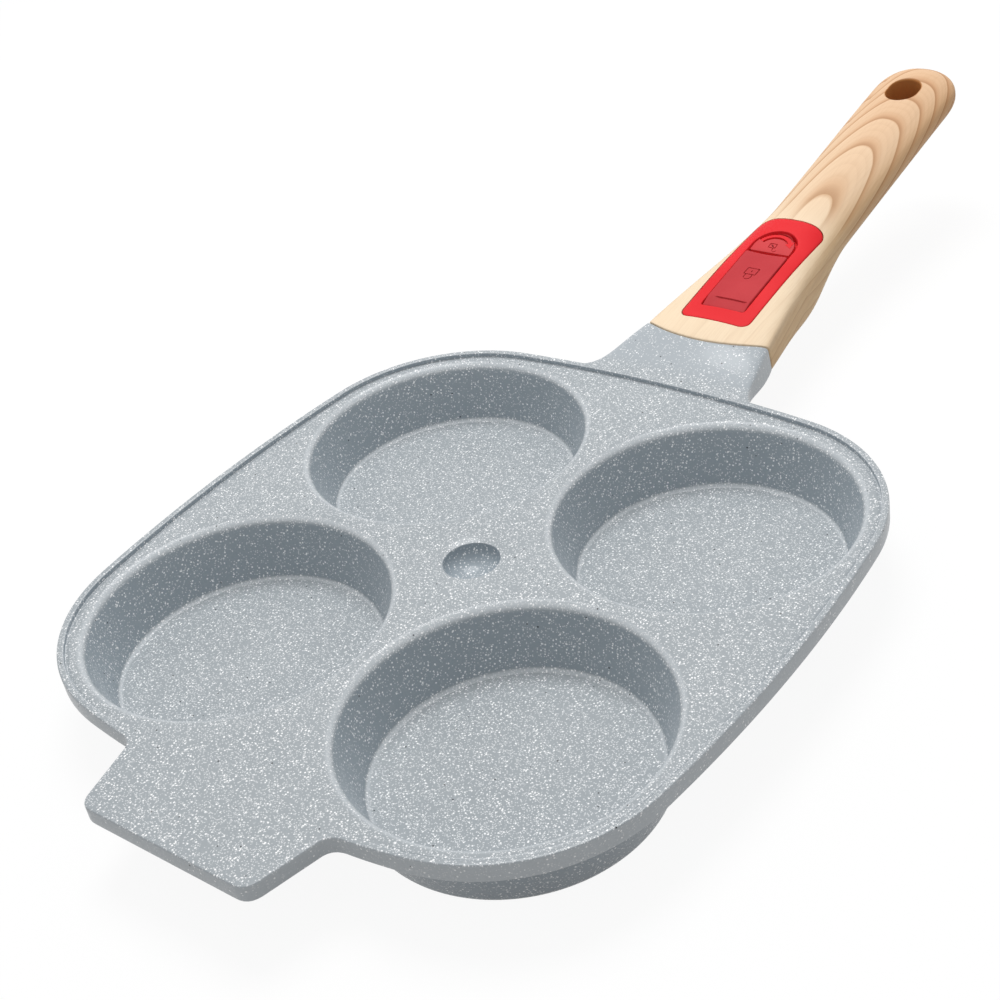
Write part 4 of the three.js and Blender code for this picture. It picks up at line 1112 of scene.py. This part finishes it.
def stack(levels, work=None):
    """A closed body through outlines at rising heights, in a work mesh or a new one."""
    work = work or bmesh.new()
    made = add_rings(work, [handle_ring(*level) for level in levels])
    work.faces.new(made[0])
    work.faces.new(made[-1])
    return work


def prism(outline, bottom, top):
    return stack([(outline, bottom), (outline, top)])


def block(half, front, rear, bottom, top):
    return prism(rectangle(half, front, rear), bottom, top)


def as_cutter(work):
    bmesh.ops.recalc_face_normals(work, faces=work.faces)
    mesh = bpy.data.meshes.new("cutter")
    work.to_mesh(mesh)
    work.free()
    cutter = bpy.data.objects.new("cutter", mesh)
    bpy.context.scene.collection.objects.link(cutter)
    return cutter


def combine(piece, others, operation):
    """Cuts closed bodies out of a piece or joins them to it, and returns the result as a plain mesh."""
    for other in others:
        modifier = piece.modifiers.new("combine", "BOOLEAN")
        modifier.object = other
        modifier.operation = operation
        modifier.solver = "MANIFOLD"
    mesh = baked(piece, "combined")
    for other in others:
        bpy.data.objects.remove(other)
    return mesh


def stadium(v, half, half_length, steps=24):
    straight = half_length - half
    rear = arc(0, v + straight, half, 0, math.pi, steps)
    return rear + arc(0, v - straight, half, math.pi, 2 * math.pi, steps)


def bezel_outline(grow=0.0):
    half = BEZEL_HALF + grow
    front = BEZEL_FRONT - grow
    rear = BEZEL_REAR + grow
    corner = BEZEL_CORNER + grow
    shoulder = BEZEL_REAR - BEZEL_END_BOW
    full = BEZEL_END_FULLNESS * half
    steps = BEZEL_CORNER_STEPS
    path = [(0, front)] + arc(half - corner, front + corner, corner, -math.pi / 2, 0, steps)
    path += bezier((half, shoulder), (half, rear), (full, rear), (0, rear), BEZEL_END_STEPS)
    path += bezier((0, rear), (-full, rear), (-half, rear), (-half, shoulder), BEZEL_END_STEPS)[1:]
    path += arc(-half + corner, front + corner, corner, math.pi, 1.5 * math.pi, steps)
    return resample(path, OUTLINE_STEPS)


def small_corner(x, v, radius, quarter):
    """A round corner from a number of quarter turns to the next one."""
    turn = math.pi / 2
    return arc(x, v, radius, quarter * turn, (quarter + 1) * turn, SMALL_CORNER_STEPS)


def track_outline():
    side = TRACK_HALF - TRACK_CORNER
    front = TRACK_FRONT + TRACK_CORNER
    path = [(0, TRACK_FRONT)] + small_corner(side, front, TRACK_CORNER, -1)
    path += arc(0, TRACK_REAR - TRACK_HALF, TRACK_HALF, 0, math.pi, TRACK_END_STEPS)
    path += small_corner(-side, front, TRACK_CORNER, 2)
    return resample(path, OUTLINE_STEPS)


def button_outline():
    side = BUTTON_HALF - BUTTON_CORNER
    front = BUTTON_FRONT + BUTTON_CORNER
    rear = BUTTON_REAR - BUTTON_CORNER
    path = [(0, BUTTON_FRONT)]
    for x, v, quarter in ((side, front, -1), (side, rear, 0), (-side, rear, 1), (-side, front, 2)):
        path += small_corner(x, v, BUTTON_CORNER, quarter)
    return resample(path, OUTLINE_STEPS)


def top_height(x, v):
    """Height of the handle's top at a place on it."""
    half, _, _, _, _, squareness = section(v)
    across = min(abs(x) / half, 1.0)
    return skin_height(v, across, (1 - across ** squareness) ** (1 / squareness), 0.0)


def hanging_hole(deep):
    """A cutter for the hole, which widens at its rounded upper edge."""
    levels = [(deep, 0.0), (-HOLE_EDGE, 0.0)]
    for i in range(1, HOLE_EDGE_STEPS + 1):
        share = i / HOLE_EDGE_STEPS
        angle = math.pi / 2 * share
        n = HOLE_EDGE * (math.sin(angle) - 1) + HOLE_EDGE_OVERLAP * share
        levels.append((n, HOLE_EDGE * (1 - math.cos(angle))))
    levels.append((HOLE_CLEAR_TOP, HOLE_EDGE + HOLE_CLEAR))
    return stack([(stadium(HOLE_AT, HOLE_HALF + out, HOLE_HALF_LENGTH + out), n) for n, out in levels])


def make_grip():
    rings = []
    for back, inset in edge_steps(JOINT_EDGE):
        rings.append(skin_ring(lambda x: joint_line(x) + back, inset))
    tail_start = HANDLE_LENGTH - TAIL_ROUND
    for i in range(int((tail_start - RING_SPACING) / RING_SPACING)):
        level = JOINT_EDGE + FIRST_RING + RING_SPACING * i
        rings.append(skin_ring(lambda x: level + joint_line(x) * (1 - min(level / BOW_REACH, 1.0))))
    for i in range(TAIL_STEPS):
        v = tail_start + TAIL_ROUND * math.sin(math.pi / 2 * i / TAIL_STEPS)
        rings.append(skin_ring(lambda x: v))
    blank = finish_mesh("grip_blank", tube(rings), wood)
    deep = -(GRIP_DEPTH + BELLY_SWELL + UNDER_CLEAR)
    seat = prism(bezel_outline(BEZEL_SEAM), BEZEL_BOTTOM - SEAT_GAP, SEAT_TOP)
    cutters = [seat, hanging_hole(deep)] + [block(*box) for box in (TRAY_BOX, POCKET_BOX, SOCKET_BOX)]
    cutters += [prism(circle(0, v, SCREW_BORE, SCREW_BORE_STEPS), deep, SCREW_SEAT) for v in TRAY_SCREWS_AT]
    mesh = combine(blank, [as_cutter(cutter) for cutter in cutters], "DIFFERENCE")
    return shade("wood_grip", mesh, wood, GRIP_SHARP)


def round_edge(outline, height, way=1, lowest=-math.inf):
    """Rings over an edge that is rounded under a surface, inwards for way 1 and outwards for -1."""
    rings = []
    for inset, drop in EDGE_ROUND:
        ring = inset_path(outline, way * inset)
        rings.append(handle_ring(ring, lambda x, v: max(height(x, v) + drop, lowest)))
    return rings


def make_bezel():
    work = bmesh.new()
    outer = bezel_outline()
    inner = track_outline()
    rings = [handle_ring(outer, BEZEL_BOTTOM)] + round_edge(outer, top_height)
    round_width = EDGE_ROUND[-1][0]
    crest = inset_path(outer, round_width)
    brink = inset_path(inner, -round_width)
    for i in range(1, FRAME_STEPS):
        share = i / FRAME_STEPS
        ring = [(mix(a[0], b[0], share), mix(a[1], b[1], share)) for a, b in zip(crest, brink)]
        rings.append(handle_ring(ring, top_height))
    rings += reversed(round_edge(inner, top_height, -1))
    for inset, rise in TRACK_FOOT:
        floor_edge = inset_path(inner, inset)
        rings.append(handle_ring(floor_edge, TRACK_FLOOR + rise))
    add_rings(work, rings)
    slot = rectangle(SLOT_HALF, SLOT_FRONT, SLOT_REAR)
    levels = (TRACK_FLOOR, BEZEL_BOTTOM)
    for edge, n in zip((floor_edge, outer), levels):
        fill(work, edge, [slot], lambda x, v: handle_place(x, v, n))
    add_rings(work, [handle_ring(slot, n) for n in levels])
    bezel = finish_mesh("bezel_blank", work, bright_red)
    edge = [(x, v) for x, v in inset_path(inner, WELL_EDGE_GAP) if v > BUTTON_REAR]
    edge = [(edge[0][0], BUTTON_REAR)] + edge + [(edge[-1][0], BUTTON_REAR)]
    well = prism(edge, PAD_TOP - PAD_THICKNESS, TRACK_FLOOR + WELL_CLEAR)
    return shade("bezel_frame", combine(bezel, [as_cutter(well)], "DIFFERENCE"), bright_red, LOCK_SHARP)


def button_top(x, v):
    """Height of the button's top: a bevelled ledge in front, then a shallow dish for the thumb."""
    into = v - BUTTON_FRONT
    rise = top_height(x, v) + BUTTON_RISE
    if into < BUTTON_LEDGE:
        left_end = smooth(x, *[share * BUTTON_HALF for share in LEDGE_LEFT])
        right_end = smooth(-x, *[share * BUTTON_HALF for share in LEDGE_RIGHT])
        return rise - mix(BUTTON_LEDGE_DROP, BUTTON_LEDGE_STEP * left_end * right_end, into / BUTTON_LEDGE)
    along = smooth(into, BUTTON_LEDGE + BUTTON_FLAT, BUTTON_REAR - BUTTON_FRONT)
    return rise - BUTTON_DISH * (along * (1 - (x / BUTTON_HALF) ** 2))


def make_button():
    work = bmesh.new()
    outline = button_outline()
    edge = round_edge(outline, button_top, lowest=BUTTON_BOTTOM + BUTTON_SKIRT)
    add_rings(work, [handle_ring(outline, BUTTON_BOTTOM)] + edge)
    flat = inset_path(outline, EDGE_ROUND[-1][0])
    step = BUTTON_FRONT + BUTTON_LEDGE
    rows = [step + near for near in STEP_ROWS]
    for start, count in ((BUTTON_FRONT, LEDGE_ROWS), (step, DISH_ROWS)):
        rows += [start + GRID_STEP + GRID_STEP * i for i in range(count)]
    columns = [-GRID_HALF + GRID_PITCH * i for i in range(GRID_COLUMNS)]
    grid = [(x, v) for v in rows if v < BUTTON_REAR - GRID_MARGIN for x in columns]
    fill(work, flat, [], lambda x, v: handle_place(x, v, button_top(x, v)), grid)
    fill(work, outline, [], lambda x, v: handle_place(x, v, BUTTON_BOTTOM))
    stem = rectangle(STEM_HALF, STEM_FRONT, STEM_REAR)
    stack([(stem, BEZEL_BOTTOM), (stem, BUTTON_BOTTOM + STEM_OVERLAP)], work)
    slider = finish_mesh("slider_blank", work, dull_red)
    marks = padlock(*LOCKED_MARK, button_top, False)
    return shade("thumb_slider", combine(slider, marks, "DIFFERENCE"), dull_red, LOCK_SHARP)


# Marks: plain sunk lines for locked and unlocked, and a plain arrow for the way to slide
def ribbon(path, width, bottom, top, height, closed=False):
    """A bar along a path, between two heights over the surface that height gives."""
    work = bmesh.new()
    corners = ((1, bottom), (1, top), (-1, top), (-1, bottom))
    rings = []
    for (x, v), (dx, dv) in zip(path, headings(path, closed)):
        side = (-dv * width / 2, dx * width / 2)
        base = height(x, v)
        rings.append([handle_place(x + side[0] * way, v + side[1] * way, base + n) for way, n in corners])
    if closed:
        rings.append(rings[0])
    made = add_rings(work, rings)
    if closed:
        bmesh.ops.remove_doubles(work, verts=work.verts, dist=WELD)
    else:
        work.faces.new(made[0])
        work.faces.new(made[-1])
    return work


def padlock(x, v, size, height, open_shackle):
    """Cutters for a plain padlock with its shackle towards the pan."""
    half = size / 2
    rear = v + PADLOCK_BODY * size
    body = [(x - half, v), (x + half, v), (x + half, rear), (x - half, rear)]
    bow_x = x + (PADLOCK_SWING * size if open_shackle else 0.0)
    bow_half = PADLOCK_BOW * size
    foot = v - PADLOCK_GAP
    bow = [(bow_x - bow_half, foot)]
    bow += arc(bow_x, foot - PADLOCK_BOW_RISE * size, bow_half, math.pi, 2 * math.pi, PADLOCK_BOW_STEPS)
    if not open_shackle:
        bow.append((bow_x + bow_half, foot))
    key = [(x, v + share * size) for share in PADLOCK_KEY]
    cutters = []
    for path, closed in ((resample(body, PADLOCK_STEPS), True), (bow, False), (key, False)):
        cutters.append(as_cutter(ribbon(path, MARK_LINE, -MARK_DEPTH, MARK_CLEAR, height, closed)))
    return cutters


def pad_height(x, v):
    """Height of the pad's top, which rises to the rear and stays under the slider's path."""
    return PAD_TOP + PAD_RISE * (v - PAD_RISE_FROM)


def arrow_path():
    ends = (math.radians(ARROW_START), math.radians(ARROW_END))
    return arc(ARROW_X, TRACK_REAR - TRACK_HALF, ARROW_RADIUS, *ends, ARROW_STEPS)


def make_arrow():
    """A curved bar with a head that stands in a moat in the pad."""
    work = ribbon(arrow_path(), ARROW_WIDTH, -PAD_THICKNESS / 2, ARROW_RISE, pad_height)
    bar = finish_mesh("arrow_bar", work, bright_red)
    centre = TRACK_REAR - TRACK_HALF
    head = []
    corners = ((-ARROW_HEAD, ARROW_HEAD_START), (0.0, ARROW_TIP), (ARROW_HEAD, ARROW_HEAD_START))
    for reach, degrees in corners:
        radius = ARROW_RADIUS + reach
        angle = math.radians(degrees)
        head.append((ARROW_X + radius * math.cos(angle), centre + radius * math.sin(angle)))
    point = prism(head, PAD_TOP - PAD_THICKNESS / 2, lambda x, v: pad_height(x, v) + ARROW_HEAD_RISE)
    return shade("slide_arrow", combine(bar, [as_cutter(point)], "UNION"), bright_red, LOCK_SHARP)


def pad_outline():
    """The pad behind the slider: close to the track on the left, with a gap behind it and on the right."""
    track = track_outline()
    gaps = []
    for dx, dv in headings(track):
        right = PAD_SIDE_GAP * max(dv, 0.0) ** PAD_SIDE_EASE
        rear = PAD_REAR_GAP * max(-dx, 0.0) ** PAD_REAR_EASE
        gaps.append(PAD_EDGE_GAP + right + rear)
    start = PAD_FRONT + PAD_CORNER
    path = [(x, v) for x, v in inset_path(track, gaps) if v > start]
    right = path[0][0]
    left = path[-1][0]
    front = bend((left, start), (left, PAD_FRONT), (left + PAD_CORNER, PAD_FRONT), SMALL_CORNER_STEPS)
    front += bend((right - PAD_CORNER, PAD_FRONT), (right, PAD_FRONT), (right, start), SMALL_CORNER_STEPS)
    return resample(path + front, OUTLINE_STEPS)


def make_pad():
    outline = pad_outline()
    levels = [(outline, PAD_TOP - PAD_THICKNESS)]
    for inset, drop in ((0.0, PAD_ROUND), (PAD_ROUND / 3, PAD_ROUND / 3), (PAD_ROUND, 0.0)):
        ring = inset_path(outline, inset) if inset else outline
        levels.append((ring, lambda x, v, drop=drop: pad_height(x, v) - drop))
    pad = finish_mesh("pad_blank", stack(levels), pad_red_painted_light)
    cutters = padlock(*UNLOCKED_MARK, pad_height, True)
    cutters.append(as_cutter(ribbon(arrow_path(), ARROW_MOAT, -ARROW_MOAT_DEPTH, MARK_CLEAR, pad_height)))
    return shade("unlock_pad", combine(pad, cutters, "DIFFERENCE"), pad_red_painted_light, LOCK_SHARP)


def place_piece(piece, body, slot, *nodes):
    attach(piece, body)
    if nodes:
        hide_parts(*nodes)


def make_spring():
    """The return spring, a copy of the imported coil in drawn steel."""
    work = bmesh.new()
    work.from_mesh(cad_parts["return_spring"].data)
    coil = finish_mesh("return_coil", work, steel)
    place_piece(coil, "pan", "steel", "return_spring")
    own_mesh(coil)


place_piece(make_pan(), "pan", "coating", "pan_body")
place_piece(make_grip(), "pan", "wood", "handle_grip")
place_piece(make_bezel(), "pan", "bright_red", "lock_bezel")
place_piece(make_pad(), "pan", "dull_red")
place_piece(make_arrow(), "pan", "bright_red")
place_piece(make_button(), "slider", "dull_red", "slide_button")
make_spring()

# Pieces inside the handle keep their solids and only get a finish
plastic_nodes = ("button_carriage", "lock_tray")
steel_nodes = (
    "socket_sleeve", "carriage_screw_front", "carriage_screw_rear", "tray_screw_front", "tray_screw_rear",
    "latch_pawl", "pawl_pin", "pawl_spring",
)
for names, material in ((plastic_nodes, black_plastic), (steel_nodes, steel)):
    for name in names:
        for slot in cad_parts[name].material_slots:
            slot.material = material


# Stage: a pale floor that shows white but keeps a soft shadow, and that a view from below passes through
def make_floor():
    finish = Finish("pale_floor", 0.9)
    seen = finish.seen_share()
    finish.set("Base Color", finish.blend(seen, FLOOR_BOUNCE, WHITE))
    glow = finish.add("ShaderNodeEmission", {"Color": (*WHITE, 1.0), "Strength": 1.0})
    share = finish.times(seen, FLOOR_GLOW)
    lit = finish.add("ShaderNodeMixShader", {0: share, 1: finish.shader.outputs[0], 2: glow.outputs[0]})
    below = finish.add("ShaderNodeNewGeometry").outputs["Backfacing"]
    clear = finish.add("ShaderNodeBsdfTransparent")
    both = finish.add("ShaderNodeMixShader", {0: below, 1: lit.outputs[0], 2: clear.outputs[0]})
    finish.feed(finish.tree.nodes["Material Output"].inputs["Surface"], both.outputs[0])
    work = bmesh.new()
    corners = rectangle(FLOOR_REACH, -FLOOR_REACH, FLOOR_REACH)
    work.faces.new([work.verts.new((x, y, 0.0)) for x, y in corners])
    floor = finish_mesh("floor", work, finish.material)


def make_world():
    """White for the camera and in reflections, dimmer as a light."""
    world = bpy.data.worlds.new("studio")
    bpy.context.scene.world = world
    world.use_nodes = True
    sky = Nodes(world.node_tree)
    back = sky.tree.nodes["Background"]
    sky.feed(back.inputs["Color"], (*WHITE, 1.0))
    sky.feed(back.inputs["Strength"], sky.span(sky.seen_share(), 0.0, 1.0, WORLD_FILL, 1.0))


def add_panel(name, place, target, size, watts):
    light = bpy.data.lights.new(name, "AREA")
    light.shape = "DISK"
    light.size = size
    light.energy = watts
    lamp = bpy.data.objects.new(name, light)
    lamp.location = place
    lamp.rotation_euler = (Vector(target) - Vector(place)).to_track_quat("-Z", "Y").to_euler()
    bpy.context.scene.collection.objects.link(lamp)


make_floor()
make_world()
add_panel("overhead", LAMP_PLACE, LAMP_TARGET, LAMP_SIZE, LAMP_WATTS)
camera_data = bpy.data.cameras.new("camera")
camera_data.sensor_width = CAMERA_SENSOR
camera_data.lens = CAMERA_LENS
camera_data.clip_start = CAMERA_NEAREST
camera = bpy.data.objects.new("camera", camera_data)
camera.location = CAMERA_PLACE
camera.rotation_euler = [math.radians(angle) for angle in CAMERA_TURN]
bpy.context.scene.collection.objects.link(camera)
bpy.context.scene.camera = camera
bpy.context.scene.view_settings.view_transform = "Standard"
